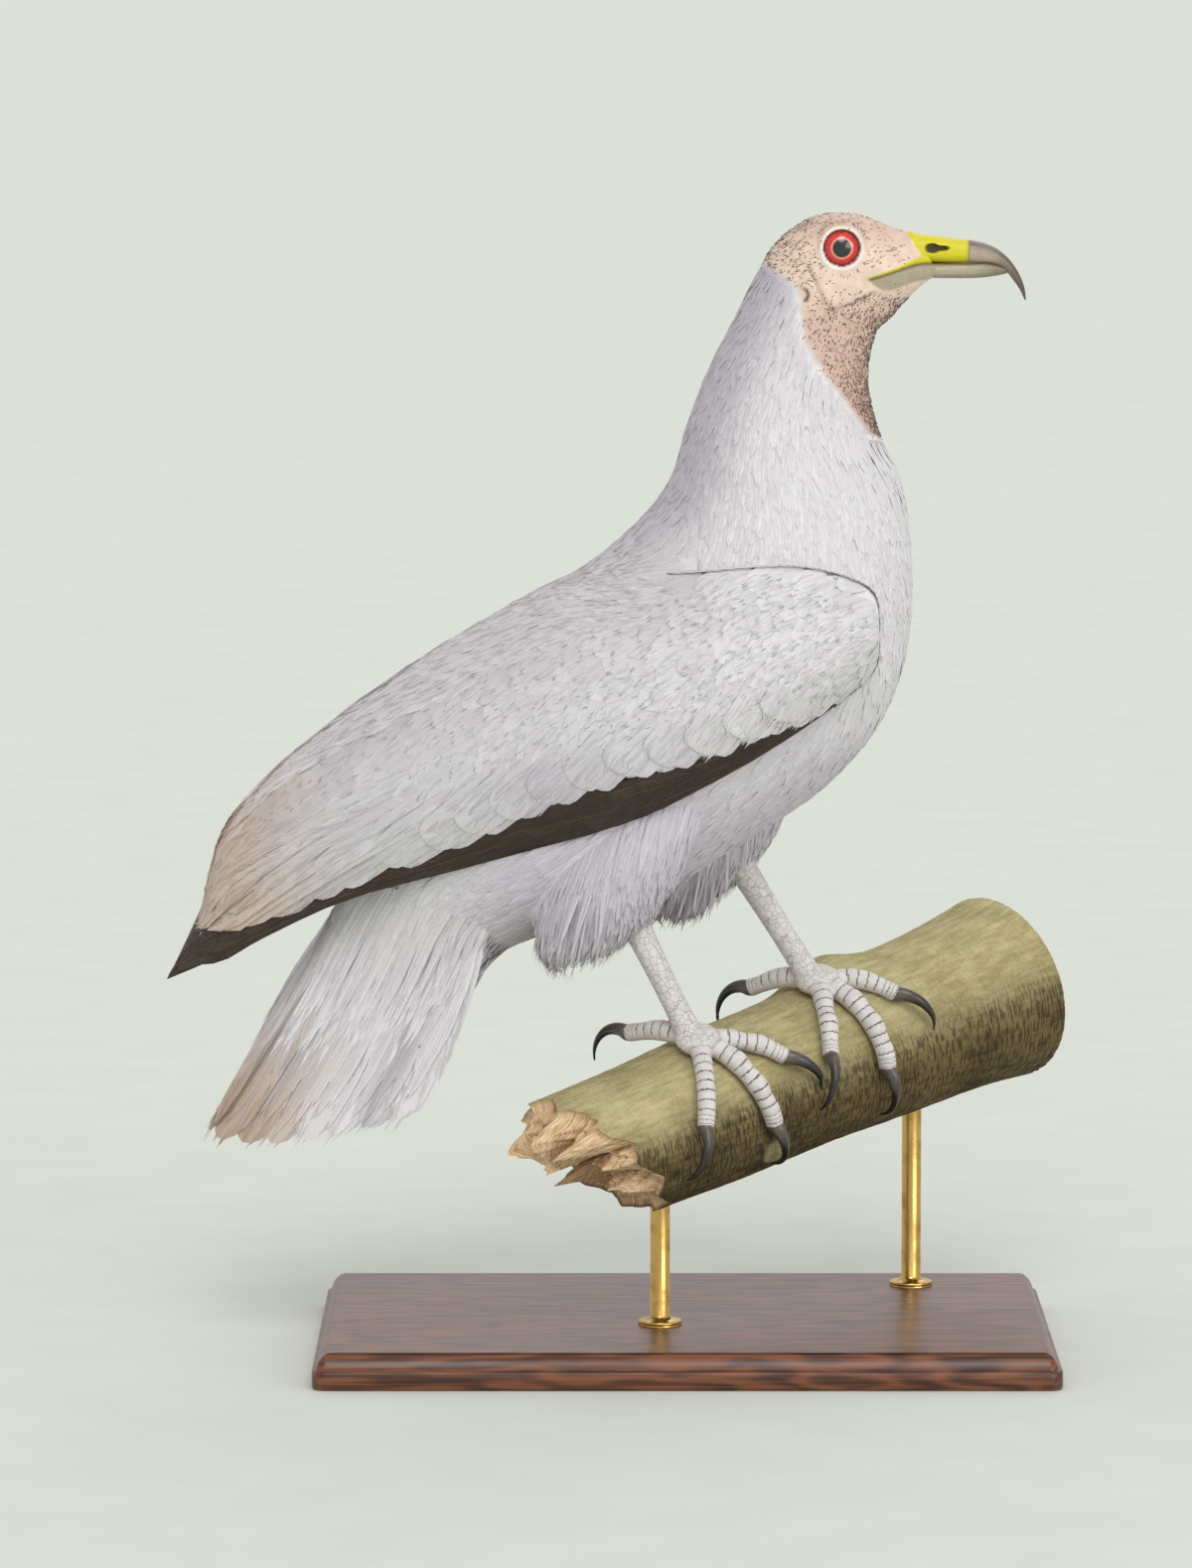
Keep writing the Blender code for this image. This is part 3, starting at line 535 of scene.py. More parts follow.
def wing_point(u, t):
    """A point of the right wing's outer side, the wing's depth there, and the room to the body.

    u counts the sections from the wrist to the tip, and t runs from the upper to the lower edge.
    """
    row = spline(WING, u)[0]
    upper, lower = row[[0, 2, 1]], row[[3, 5, 4]]
    bulge = (upper + lower) / 2
    bulge[1] = row[6]
    control = 2 * bulge - (upper + lower) / 2
    x, y, z = (1 - t) ** 2 * upper + 2 * t * (1 - t) * control + t**2 * lower
    middle = math.sin(math.pi * min(max(t, 0.0), 1.0))
    depth = max(row[7] * (0.5 + 0.5 * middle), 1.4)
    body_y = BODY_SURFACE.reach(x, z)
    if body_y is None:
        return x, -y, z, depth, depth
    y = max(y, body_y + 4.0 + 5.0 * middle)
    return x, -y, z, min(depth, y - body_y + 1.0), y - body_y


# The right wing's points, depths and rooms, from the wrist to the tip and from edge to edge.
WING_GRID = np.array([
    [wing_point(u, t) for t in np.linspace(0.0, 1.0, 33)]
    for u in np.linspace(0.0, len(WING) - 1.0, 133)
])
WING_SURFACE = ring_surface(WING_GRID[..., :3] * (1.0, -1.0, 1.0), closed=False)
WING_OUTSIDE = ring_surface(WING_GRID[..., :3], closed=False)


def wing_chart(u, t):
    """The wing grid's values at places of the right wing's outer side, and their steps along u and t."""
    rows, columns = WING_GRID.shape[:2]
    r = np.clip(u / (len(WING) - 1) * (rows - 1), 0, rows - 1.001)
    c = np.clip(t * (columns - 1), 0, columns - 1.001)
    i, j = r.astype(int), c.astype(int)
    p, q = (r - i)[:, None], (c - j)[:, None]
    a, b, d, e = WING_GRID[i, j], WING_GRID[i + 1, j], WING_GRID[i, j + 1], WING_GRID[i + 1, j + 1]
    value = (a * (1 - p) + b * p) * (1 - q) + (d * (1 - p) + e * p) * q
    return value, (b - a) * (1 - q) + (e - d) * q, (d - a) * (1 - p) + (e - b) * p


def wing_frame(u, t):
    """Places on the right wing's outer side, and the directions towards the tip and the lower edge."""
    value, along, down = wing_chart(u, t)
    return value[:, :3], unit(along[:, :3]), unit(down[:, :3])


def wing_room(u, t):
    """How far the wing's outer side stands from the body."""
    return wing_chart(u, t)[0][:, 4]


def wing_arc(u):
    """How long the wing's outer side is from the upper to the lower edge."""
    arcs = np.linalg.norm(np.diff(WING_GRID[..., :3], axis=1), axis=2).sum(axis=1)
    return np.interp(u, np.linspace(0.0, len(WING) - 1.0, len(arcs)), arcs)


def covert_share(u):
    """The share of the outer side that is white; the black strip starts full and takes the whole tip."""
    share = np.interp(u, range(len(WING)), WING[:, 8]) - 0.045 * bump_at(u, 2.45, 0.4)
    return share * smooth_step(10.26 - u, 0.0, 0.2)


# Places along the lower edge of the white coverts, as section numbers, and their distances along it.
EDGE_PLACES = np.linspace(2.0, 10.6, 80)
EDGE_RUN = run_along(wing_frame(EDGE_PLACES, covert_share(EDGE_PLACES))[0])


def wing_edge(x, place, value):
    """What one column of WING says at x, where another column holds the edge's own x."""
    return np.interp(x, WING[::-1, place], WING[::-1, value])


def under_wing(points):
    """Which places the folded wings hide."""
    reach = [WING_SURFACE.reach(x, z) for x, z in points[:, [0, 2]].tolist()]
    return np.array([r is not None and abs(y) < r for r, y in zip(reach, points[:, 1])])


def thigh_rows(side):
    return THIGH + (LEFT_STEP if side == "left" else 0.0)


def thigh_rings(side, count, sides):
    rows = thigh_rows(side)
    rings = []
    for u in np.linspace(0.0, len(rows) - 1.0, count):
        ring = section_point(np.delete(rows, 4, axis=1), np.full(sides, u), full_turn(sides))
        rings.append(ring + (0.0, SIDES[side] * spline(rows, u)[0][4], 0.0))
    return np.array(rings)


MANTLE_OVERLAP = 0.6
MANTLE_LIFT = 1.2


def mantle_place(u, v):
    """A place over the back between the folded wings.

    v runs from -1, on the right wing, over the wings' upper edges at -0.5 and 0.5 to 1, on the left wing.
    """
    place = wing_frame(u, np.clip(np.abs(v) - 0.5, 0.0, 0.5) * MANTLE_OVERLAP)[0]
    place[:, 1] *= 1.0 - 2.0 * np.clip(v + 0.5, 0.0, 1.0)
    across = np.abs(v)
    low = smooth_step(u, 2.2, 4.2) * (1.0 - 0.75 * smooth_step(across, 0.5, 0.85))
    place[:, 2] += MANTLE_LIFT * low + 2.5 * np.clip(1.0 - 4.0 * v * v, 0.0, 1.0)
    for point in place:
        hit = BODY_SURFACE.tree.ray_cast((point[0], point[1], 700.0), (0.0, 0.0, -1.0))[0]
        if hit:
            point[2] = max(point[2], hit[2] + 0.3)
    return place


def mantle_grid():
    """The mantle's surface as a grid, smoothed across the back."""
    v = np.linspace(-1.0, 1.0, 41)
    grid = np.array([mantle_place(np.full(41, u), v) for u in np.linspace(3.0, 9.9, 90)])
    for _ in range(3):
        grid[:, 1:-1] = (grid[:, :-2] + 2.0 * grid[:, 1:-1] + grid[:, 2:]) / 4.0
    return grid


MANTLE_GRID = mantle_grid()
MANTLE_SURFACE = ring_surface(MANTLE_GRID, closed=False)


def fan_width(along):
    return np.interp(np.sin(math.pi / 2 * along), (0.0, 1.0), TAIL_HALF_WIDTHS)


def open_fan(across, along, level):
    """A point of the fan: across runs -1 to 1 from the right to the left edge, along 0 to 1.

    The level counts down from the fan, which rises a little along its middle.
    """
    left = np.array((0.0, 1.0, 0.0))
    turned_left = left * math.cos(TAIL_ROLL) + TAIL_UP * math.sin(TAIL_ROLL)
    turned_up = TAIL_UP * math.cos(TAIL_ROLL) - left * math.sin(TAIL_ROLL)
    length = TAIL_LENGTH - TAIL_STEP * abs(across) ** 1.4
    width = fan_width(along)[:, None]
    ridge = math.sqrt(across**2 + 0.01) - 0.1
    level = level - (1.0 + 4.0 * along[:, None]) * math.exp(-((across / 0.4) ** 2))
    return (
        TAIL_ROOT
        + TAIL_DOWN * length * along[:, None]
        + turned_left * across * width * math.cos(TAIL_ROOF)
        - turned_up * (ridge * width * math.sin(TAIL_ROOF) + level)
    )


def tail_tuck():
    """How far the fan's left half draws in, by height, so that it stays between the wings at its root."""
    edge = open_fan(1.0, np.linspace(0.0, 1.0, 40), 0.0)
    wing_y, wing_z = wing_edge(edge[:, 0], 3, 5), wing_edge(edge[:, 0], 3, 4)
    room = wing_y - 7.0 + 1.6 * np.maximum(wing_z - edge[:, 2], 0.0)
    return -edge[:, 2], np.minimum(0.92 * room / edge[:, 1], 1.0)


TAIL_TUCK = tail_tuck()


def tail_point(across, along, level):
    """A point of the fan with its left half drawn in between the wings."""
    place = open_fan(across, along, level)
    place[:, 1] *= np.where(place[:, 1] > 0.0, np.interp(-place[:, 2], *TAIL_TUCK), 1.0)
    return place


TAIL_SURFACE = ring_surface([
    [tail_point(across, np.array([along]), 0.0)[0] for across in np.linspace(-1.0, 1.0, 33)]
    for along in np.linspace(0.0, 1.0, 25)
], closed=False)


# ---- colours and markings ----------------------------------------------------------------------------
CHEEK, CROWN = linear(226, 202, 183), linear(209, 181, 162)
THROAT, THROAT_DARK = linear(202, 173, 157), linear(190, 158, 143)
# The dark brown paints shade into the face's creases and the bill's cut.
EYE_RING, CREASE_SHADE = linear(240, 234, 226), linear(78, 50, 40)
JAW_GREY, CERE_YELLOW = linear(168, 158, 134), linear(210, 198, 24)
# The dark grey is painted shade in the grooves between the toes' scutes.
LEG_PALE, SCUTE_SHADE = linear(208, 203, 199), linear(74, 66, 64)
CLAW_BROWN, CLAW_DARK = linear(92, 84, 74), linear(38, 34, 31)
# The lilac and grey tones are painted shade on the white coat: behind the neck, along the back, below and in
# the tail's grooves.
WHITE, LILAC_SHADE = linear(221, 218, 220), linear(194, 187, 202)
PEACH, NAPE_SHADE = linear(206, 182, 160), linear(188, 181, 191)
BACK_SHADE = linear(202, 197, 199)
TAIL_SHADE = linear(180, 174, 180)
SOOT, SOOT_BROWN = linear(54, 46, 40), linear(92, 79, 67)

# Lines of the face in side view, as (x, z) corners.
CHEEK_FOLD = np.array((
    (93.5, 535.0), (88.0, 532.3), (79.6, 528.4), (72.7, 526.9),
    (68.8, 530.8), (64.8, 539.2), (60.3, 548.6),
))
EAR = (57.5, 534.5)
MOUTH_LINE = ((91.5, 541.8), (99.4, 544.2), (107.7, 546.9), (113.6, 548.7), (118.0, 549.3), (124.0, 549.4))
MOUTH_FRONT = ((116.0, 549.4), (141.0, 549.0), (150.0, 549.4), (156.0, 548.2), (162.0, 545.6))
GAPE_TOP = ((87.8, 541.4), (92.3, 543.6), (99.4, 545.9), (107.7, 549.0), (113.6, 551.4), (118.0, 553.2))
JAW_EDGE = (
    (91.5, 541.6), (94.1, 538.7), (98.2, 536.5), (103.0, 537.0),
    (110.1, 539.3), (114.8, 541.0), (124.0, 541.9),
)
# Where the bare face meets the yellow cere: heights, and x at each of them.
FACE_Z = (548.0, 549.0, 551.4, 552.9, 558.2, 565.3)
FACE_X = (105.0, 107.7, 113.6, 117.8, 114.2, 110.1)


def bare_depth(points):
    """How far in front of the feather edge a point of the head or throat lies; negative behind it."""
    return 0.85 * (points[:, 0] - np.interp(points[:, 2], BARE_Z, BARE_X))


def face_tint(points):
    """The bare skin's colours: yellow gape, grey jaw strip, pale ring round the eye, and painted shade in
    creases.
    """
    x, z = points[:, 0], points[:, 2]
    side_on, ear, eye = side_share(points), side_gap(points, *EAR), eye_gap(points)
    tint = mix(CHEEK, CROWN, smooth_step(z, 552.0, 570.0))
    tint = mix(tint, THROAT, smooth_step(534.0 - z, -6.0, 14.0))
    tint = mix(tint, THROAT_DARK, smooth_step(505.0 - z, 0.0, 35.0))
    tint = mix(tint, CHEEK * 0.86, bump_at(ear, 4.2, 1.4) * side_on)
    tint = mix(tint, EYE_RING, smooth_step(11.4 - eye, 0.0, 1.1) * side_on)
    tint = mix(tint, JAW_GREY, between(points, MOUTH_LINE, JAW_EDGE) * side_on)
    front = smooth_step(x - np.interp(z, FACE_Z, FACE_X), -0.5, 0.5) * smooth_step(z, 548.6, 549.6)
    front = np.maximum(front, smooth_step(x, 108.0, 110.5) * smooth_step(z, 564.6, 566.0))
    tint = mix(tint, CERE_YELLOW, np.maximum(between(points, GAPE_TOP, MOUTH_LINE) * side_on, front))
    # Painted shade along the cheek fold and the mouth line.
    fold_shade = 0.4 * bump_at(line_distance(points, CHEEK_FOLD), 0.0, 0.9)
    fold_shade = np.maximum(fold_shade, bump_at(line_distance(points, MOUTH_LINE), 0.0, 0.75))
    # Painted shade in the front of the ear opening.
    ear_shade = bump_at(ear, 3.0, 0.7) * smooth_step(x - EAR[0], -0.5, 1.5)
    dark = np.maximum(fold_shade * 0.85, ear_shade) * side_on
    # Painted shade where the lids meet the eye.
    dark = np.maximum(dark, 0.9 * smooth_step(9.35 - eye, 0.0, 0.4) * side_on)
    return mix(tint, CREASE_SHADE, dark)


def plumage_tint(points):
    """The white coat's tint: painted lilac-grey shade behind the neck, along the back and below; peach at the
    rear.
    """
    x, z = points[..., 0], points[..., 2]
    back_x = np.interp(z, BODY[3:16, 1], BODY[3:16, 0])
    # Painted shade behind the neck.
    nape = smooth_step(34.0 - (x - back_x), 0.0, 26.0) * smooth_step(z, 395.0, 450.0)
    # Painted shade along the back, below the wings' upper edge.
    back = smooth_step(42.0 - (wing_edge(x, 0, 1) - z), 0.0, 36.0)
    back = back * smooth_step(30.0 - x, 0.0, 40.0) * smooth_step(x, -215.0, -170.0)
    # Painted shade on the body's underside, from behind the thighs to the lower breast.
    belly = smooth_step(325.0 - z, 0.0, 45.0) * smooth_step(x, -120.0, -60.0) * smooth_step(z, 196.0, 236.0)
    flank = smooth_step(350.0 - z, 0.0, 50.0) * smooth_step(x, 30.0, 70.0)
    rear = smooth_step(-x, 168.0, 232.0)
    tint = mix(np.broadcast_to(WHITE, points.shape), NAPE_SHADE, 0.85 * nape)
    tint = mix(tint, BACK_SHADE, 0.6 * back * (1.0 - nape))
    tint = mix(tint, LILAC_SHADE, 0.6 * np.maximum(belly, flank))
    return mix(tint, PEACH, 0.8 * rear)


def stipple_density(points):
    """How thickly dark dots and bristles stand: most along the front of the throat."""
    x, z, bare = points[:, 0], points[:, 2], bare_depth(points)
    front = np.maximum(np.interp(z, BODY[9:18, 3], BODY[9:18, 2]) - x, 0.0)
    throat = smooth_step(bare, 0.0, 3.0) * smooth_step(538.0 - z, -3.0, 9.0)
    throat *= 0.42 + 0.58 * np.maximum(bump_at(front, 0.0, 9.0), smooth_step(500.0 - z, 0.0, 25.0))
    nape = smooth_step(bare, 0.0, 2.0) * smooth_step(80.0 - x, 0.0, 30.0) * smooth_step(z, 532.0, 545.0)
    crown = 0.22 * smooth_step(z, 556.0, 568.0) * smooth_step(104.0 - x, 0.0, 20.0)
    return np.maximum(throat, np.maximum(0.5 * nape, crown))


def tail_tint(across, along, groove):
    """White, peach towards the middle feathers' tips, with painted shade along two soft grooves down the fan.
    """
    across = abs(across)
    peach = smooth_step(along, 0.45, 0.95) * smooth_step(0.62 - across, 0.0, 0.45)
    tint = mix(np.broadcast_to(WHITE, (len(along), 3)), 0.82 * PEACH, peach)
    # Painted shade along the fan's two grooves, as strong as groove says.
    inner = bump_at(across, 0.46 - 0.33 * along, 0.07)
    outer = bump_at(across, 0.79, 0.07)
    return mix(tint, TAIL_SHADE, groove * np.maximum(inner, outer) * smooth_step(along, 0.10, 0.35))


# ---- skin --------------------------------------------------------------------------------------------
NECK_FROM, HEAD_FROM = 10.7, 13.5
HEAD_VOXEL, LEG_VOXEL, BODY_VOXEL = 0.85, 0.85, 5.0
COAT_DEPTH, TRUNK_DEPTH, ROOT_DEPTH = 2.9, 1.9, 1.3
# The lids' section: distance from the eye's axis, and y.
LID_RING = (
    (8.9, 19.9), (9.1, 20.9), (9.9, 21.5), (11.2, 21.2),
    (12.8, 19.6), (14.0, 17.2), (12.0, 12.0), (8.9, 13.0),
)
ORBIT = (16.0, 7.6, 14.2)
# One more section in front of the body's last, where the face thins out over the cere and lower bill.
FACE_END = (113.5, 565.0, 127.5, 541.9, 8.5)
PATH_STEP = 0.8
SCUTE_GAP, CLAW_SCUTE_GAP = 4.9, 2.0
SKIN_MARKS = ("stipple", "leg", "scute", "band")


def lid_mesh(sign):
    """A ring of skin round the eye, turned about the eye's own axis."""
    sides, count = 72, len(LID_RING)
    turns = full_turn(sides)
    points = [
        (EYE_CENTRE[0] + r * math.cos(t), sign * y, EYE_CENTRE[2] + r * math.sin(t))
        for t in turns
        for r, y in LID_RING
    ]
    faces = []
    for i in range(sides):
        for k in range(count):
            a, b = i * count + k, i * count + (k + 1) % count
            c, d = (i + 1) % sides * count + (k + 1) % count, (i + 1) % sides * count + k
            faces.append((a, b, c, d))
    mesh = bpy.data.meshes.new("lid")
    mesh.from_pydata((np.array(points) * MM).tolist(), [], faces)
    return mesh


def head_mesh():
    """Head and upper neck, with the orbits' bulges and the lids, fused."""
    rows = np.vstack((BODY, FACE_END))
    where = np.linspace(NECK_FROM, len(rows) - 1, 116)
    powers = np.interp(where, (HEAD_FROM, len(BODY) - 1), (2.0, 2.7))
    turns = full_turn(96)
    rings = [section_point(rows, np.full(96, u), turns, power) for u, power in zip(where, powers)]
    parts = [loft_mesh(rings)]
    for sign in SIDES.values():
        parts.append(loft_mesh(ball_rings(EYE_CENTRE * (1.0, sign, 1.0), ORBIT)))
        parts.append(lid_mesh(sign))
    return fused(joined(*parts), HEAD_VOXEL, 3)


def head_relief(points):
    """How far folds, mouth line, ears and wrinkles raise the head's skin, and the coat's depth sinks it."""
    bare, side_on, eye = bare_depth(points), side_share(points), eye_gap(points)
    shift = -COAT_DEPTH * smooth_step(-bare, 0.0, 22.0)
    fold = line_distance(points, CHEEK_FOLD)
    shift += (0.4 * bump_at(fold, 2.6, 1.6) - 0.55 * bump_at(fold, 0.0, 1.0)) * side_on
    shift -= 0.9 * bump_at(line_distance(points, MOUTH_LINE), 0.0, 0.9) * side_on
    ear = side_gap(points, *EAR)
    shift += (0.45 * bump_at(ear, 4.0, 1.3) - 1.3 * bump_at(ear, 0.0, 2.4)) * side_on
    shift += 0.35 * between(points, GAPE_TOP, MOUTH_LINE) * side_on
    shift += 0.35 * between(points, MOUTH_LINE, JAW_EDGE) * side_on
    shift -= 0.25 * bump_at(eye, 12.6, 0.8) * side_on
    pores = np.array([noise.noise(p) for p in (points / 2.4).tolist()])
    wrinkles = np.array([noise.noise(p) for p in (points / (9.0, 9.0, 2.6)).tolist()])
    throat = smooth_step(bare, 2.0, 10.0) * smooth_step(538.0 - points[:, 2], 0.0, 8.0)
    return shift + (0.16 * pores * smooth_step(eye, 9.5, 12.0) + 0.45 * wrinkles * throat)


def head_skin():
    """Head and upper neck: an even mesh with lids, brows, folds, mouth line and ears."""
    mesh = head_mesh()
    points = points_of(mesh)
    moved = points + normals_of(mesh) * head_relief(points)[:, None]
    eye = eye_gap(points)
    glass = EYE_CENTRE[1] + EYE_BULGE * np.sqrt(np.clip(1.0 - (eye / EYE_RADIUS) ** 2, 0.05, 1.0))
    sunk = np.minimum(np.abs(moved[:, 1]), glass - 1.2)
    socket = (1.0 - smooth_step(eye, 8.8, 9.5)) * side_share(points)
    moved[:, 1] += (np.sign(moved[:, 1]) * sunk - moved[:, 1]) * socket
    return moved, quads_of(mesh)


HEAD_SURFACE = Surface(*head_skin())


def leg_mesh(side):
    """Shank, pad and toes fused, and the toes' centre lines."""
    foot = np.array(pad_centre(side))
    turn = FEET_ON_PERCH[side][1]
    up = (PERCH_UP * math.cos(turn) + PERCH_SIDEWAYS * math.sin(turn)).normalized()
    axes = Matrix((PERCH_AXIS, PERCH_AXIS.cross(up).normalized(), up)).transposed()
    pad = foot + (ball_rings((0, 0, 0), (1, 1, 1)) * FOOT_PAD) @ np.array(axes).T
    hock = np.array(HOCKS[side])
    shank = [hock + (foot - (3.0, 0.0, 0.0) - hock) * t for t in np.linspace(0, 1, len(SHANK_RADII))]
    parts = [loft_mesh(tube_rings(*resampled(shank, SHANK_RADII, 1.5), 28)), loft_mesh(pad)]
    paths = []
    for sizes in TOES[side].values():
        path, radii = resampled(*toe_path(side, *sizes)[:2], PATH_STEP)
        paths.append(path)
        parts.append(loft_mesh(tube_rings(path, radii + 0.15, 24)))
    return fused(joined(*parts), LEG_VOXEL, 2), paths


def scute_gap(place, length):
    """How far apart the scutes stand at a place along a toe: close near the claw."""
    return SCUTE_GAP - (SCUTE_GAP - CLAW_SCUTE_GAP) * smooth_step(place, length - 10.0, length - 5.0)


def toe_scutes(points, paths):
    """The scutes across the toes: groove, running number and share, and the distance from the toes."""
    groove, scute, band = np.zeros((3, len(points)))
    nearest = np.full(len(points), 1e9)
    fine = 0.25
    for path in paths:
        gaps = np.linalg.norm(points[:, None] - path[None], axis=2)
        place, gap = gaps.argmin(axis=1) * PATH_STEP, gaps.min(axis=1)
        length = (len(path) - 1) * PATH_STEP
        steps = fine / scute_gap(np.arange(0.0, length, fine), length)
        numbers = np.concatenate(((0.0,), np.cumsum(steps)))
        phase = np.interp(place, np.arange(len(numbers)) * fine, numbers)
        line = np.abs(phase - np.round(phase)) * scute_gap(place, length)
        mine = gap < nearest
        beyond_pad = smooth_step(place, 8.0, 12.0)
        groove = np.where(mine, bump_at(line, 0.0, 0.6) * beyond_pad, groove)
        scute, band = np.where(mine, phase, scute), np.where(mine, beyond_pad, band)
        nearest = np.minimum(nearest, gap)
    return groove, scute, band, nearest


def leg_skin(side):
    """One leg's scaly skin: shank, pad and toes fused, with scutes across the toes."""
    mesh, paths = leg_mesh(side)
    points, normals = points_of(mesh), normals_of(mesh)
    outward = unit(points - np.array(PERCH_POINT))
    outward = unit(outward - (outward @ np.array(PERCH_AXIS))[:, None] * np.array(PERCH_AXIS))
    groove, scute, band, gap = toe_scutes(points, paths)
    upper = smooth_step(np.sum(outward * normals, axis=1), -0.45, 0.0) * smooth_step(-gap, -8.5, -7.0)
    moved = points - normals * (0.4 * groove * upper)[:, None]
    scaly = np.maximum(smooth_step(gap, 6.0, 9.0), 1.0 - band)
    return moved, quads_of(mesh), scaly, scute, band * upper


def tail_root_rings():
    """The flesh at the root of the tail, flattening from the rump into the fan."""
    rings = []
    turns = full_turn(32)
    side = np.sign(body_point(np.array((1.0,)), np.array((math.pi / 2,)))[0, 1])
    for s in np.linspace(0.0, 1.0, 12):
        body = body_point(np.full(32, 2.0 - 1.9 * s), turns)
        along, depth = np.array((0.02 + 0.2 * s,)), 14.0 - 9.0 * s
        fan = []
        for turn in turns:
            level = 0.5 + depth * (0.5 - 0.5 * math.cos(turn))
            fan.append(tail_point(0.82 * side * math.sin(turn), along, level)[0])
        share = smooth_step(np.array((s,)), 0.0, 0.8)[0]
        rings.append(body * (1.0 - share) + np.array(fan) * share)
    return np.array(rings)


def trunk_skin():
    """The skin under the body's and thighs' feathers, lying deeper than the coat."""
    parts = [loft_mesh(section_rings(BODY, 0.0, NECK_FROM + 0.9, 60, 48))]
    parts += [loft_mesh(thigh_rings(side, 24, 32)) for side in SIDES]
    parts.append(loft_mesh(tail_root_rings()))
    mesh = fused(joined(*parts), BODY_VOXEL, 4)
    points = points_of(mesh) - normals_of(mesh) * TRUNK_DEPTH
    return points, quads_of(mesh)


def mantle_skin():
    """A thin sheet of skin under the mantle's feathers."""
    top = MANTLE_GRID - (0.0, 0.0, 1.6)
    rings = np.concatenate((top, top[:, ::-1] - (0.0, 0.0, 2.0)), axis=1)
    surface = ring_surface(rings)
    return surface.points, surface.quads


def wing_skin(side):
    """A thin wing inside its feathers, as deep as the room to the body near the wrist, closed at its ends."""
    places, depth, room = WING_GRID[::3, :, :3], WING_GRID[::3, :, 3], WING_GRID[::3, :, 4]
    u = np.linspace(0.0, len(WING) - 1.0, len(places))[:, None]
    outer, inner = places.copy(), places.copy()
    outer[..., 1] += np.minimum(2.6, 0.45 * depth)
    shoulder = smooth_step(3.4 - u, 0.0, 1.4)
    inner[..., 1] += 0.85 * depth * (1.0 - shoulder) + (room + 1.0) * shoulder
    rings = np.concatenate((outer, inner[:, ::-1]), axis=1)
    rings[..., 1] = np.minimum(rings[..., 1], -0.5) * -SIDES[side]
    ends = [0.98 * ring.mean(axis=0) + 0.02 * ring for ring in (rings[0], rings[-1])]
    rings = np.concatenate((ends[:1], rings, ends[1:]))
    t = np.linspace(0.0, 1.0, places.shape[1])
    strip = t > covert_share(u) - 0.04
    black = np.concatenate((strip, (strip & (u > 2.6))[:, ::-1]), axis=1)
    black = np.concatenate((black[:1], black, black[-1:]))
    if side == "left":
        rings, black = rings[:, ::-1], black[:, ::-1]
    surface = ring_surface(rings)
    return surface.points, surface.quads, black.reshape(-1).astype(float)


def skin_part(points, quads, tint, *marks):
    """One part of the skin; marks it has none of are 0."""
    marks = marks + (0.0,) * (len(SKIN_MARKS) - len(marks))
    spread = [np.broadcast_to(mark, len(points)) for mark in marks]
    return points, quads, np.broadcast_to(tint, points.shape), *spread


def make_skin():
    """The one skin: bare face and throat, scaly legs, and what lies under the feathers."""
    points, quads = HEAD_SURFACE.points, HEAD_SURFACE.quads
    bare = smooth_step(bare_depth(points), -3.0, 2.0)
    tint = mix(plumage_tint(points), face_tint(points), bare)
    parts = [skin_part(points, quads, tint, stipple_density(points))]
    for side in SIDES:
        points, quads, *marks = leg_skin(side)
        parts.append(skin_part(points, quads, LEG_PALE, 0.0, *marks))
    for points, quads in (trunk_skin(), mantle_skin()):
        parts.append(skin_part(points, quads, plumage_tint(points)))
    for side in SIDES:
        points, quads, black = wing_skin(side)
        parts.append(skin_part(points, quads, mix(plumage_tint(points), SOOT, black)))
    points, quads, tint, *marks = stack(*parts)
    skin = quad_mesh("skin", points, quads, tint, dict(zip(SKIN_MARKS, marks)))
    skin.data.materials.append(MATERIALS["skin"])
    flesh = ["trunk", "neck", "head"]
    for side in SIDES:
        flesh += [f"wing_{side}", f"thigh_{side}", f"shank_{side}"]
        flesh += [f"{toe}_{side}" for toe in TOES[side]]
    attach(skin, "root")
    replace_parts(skin, *flesh)


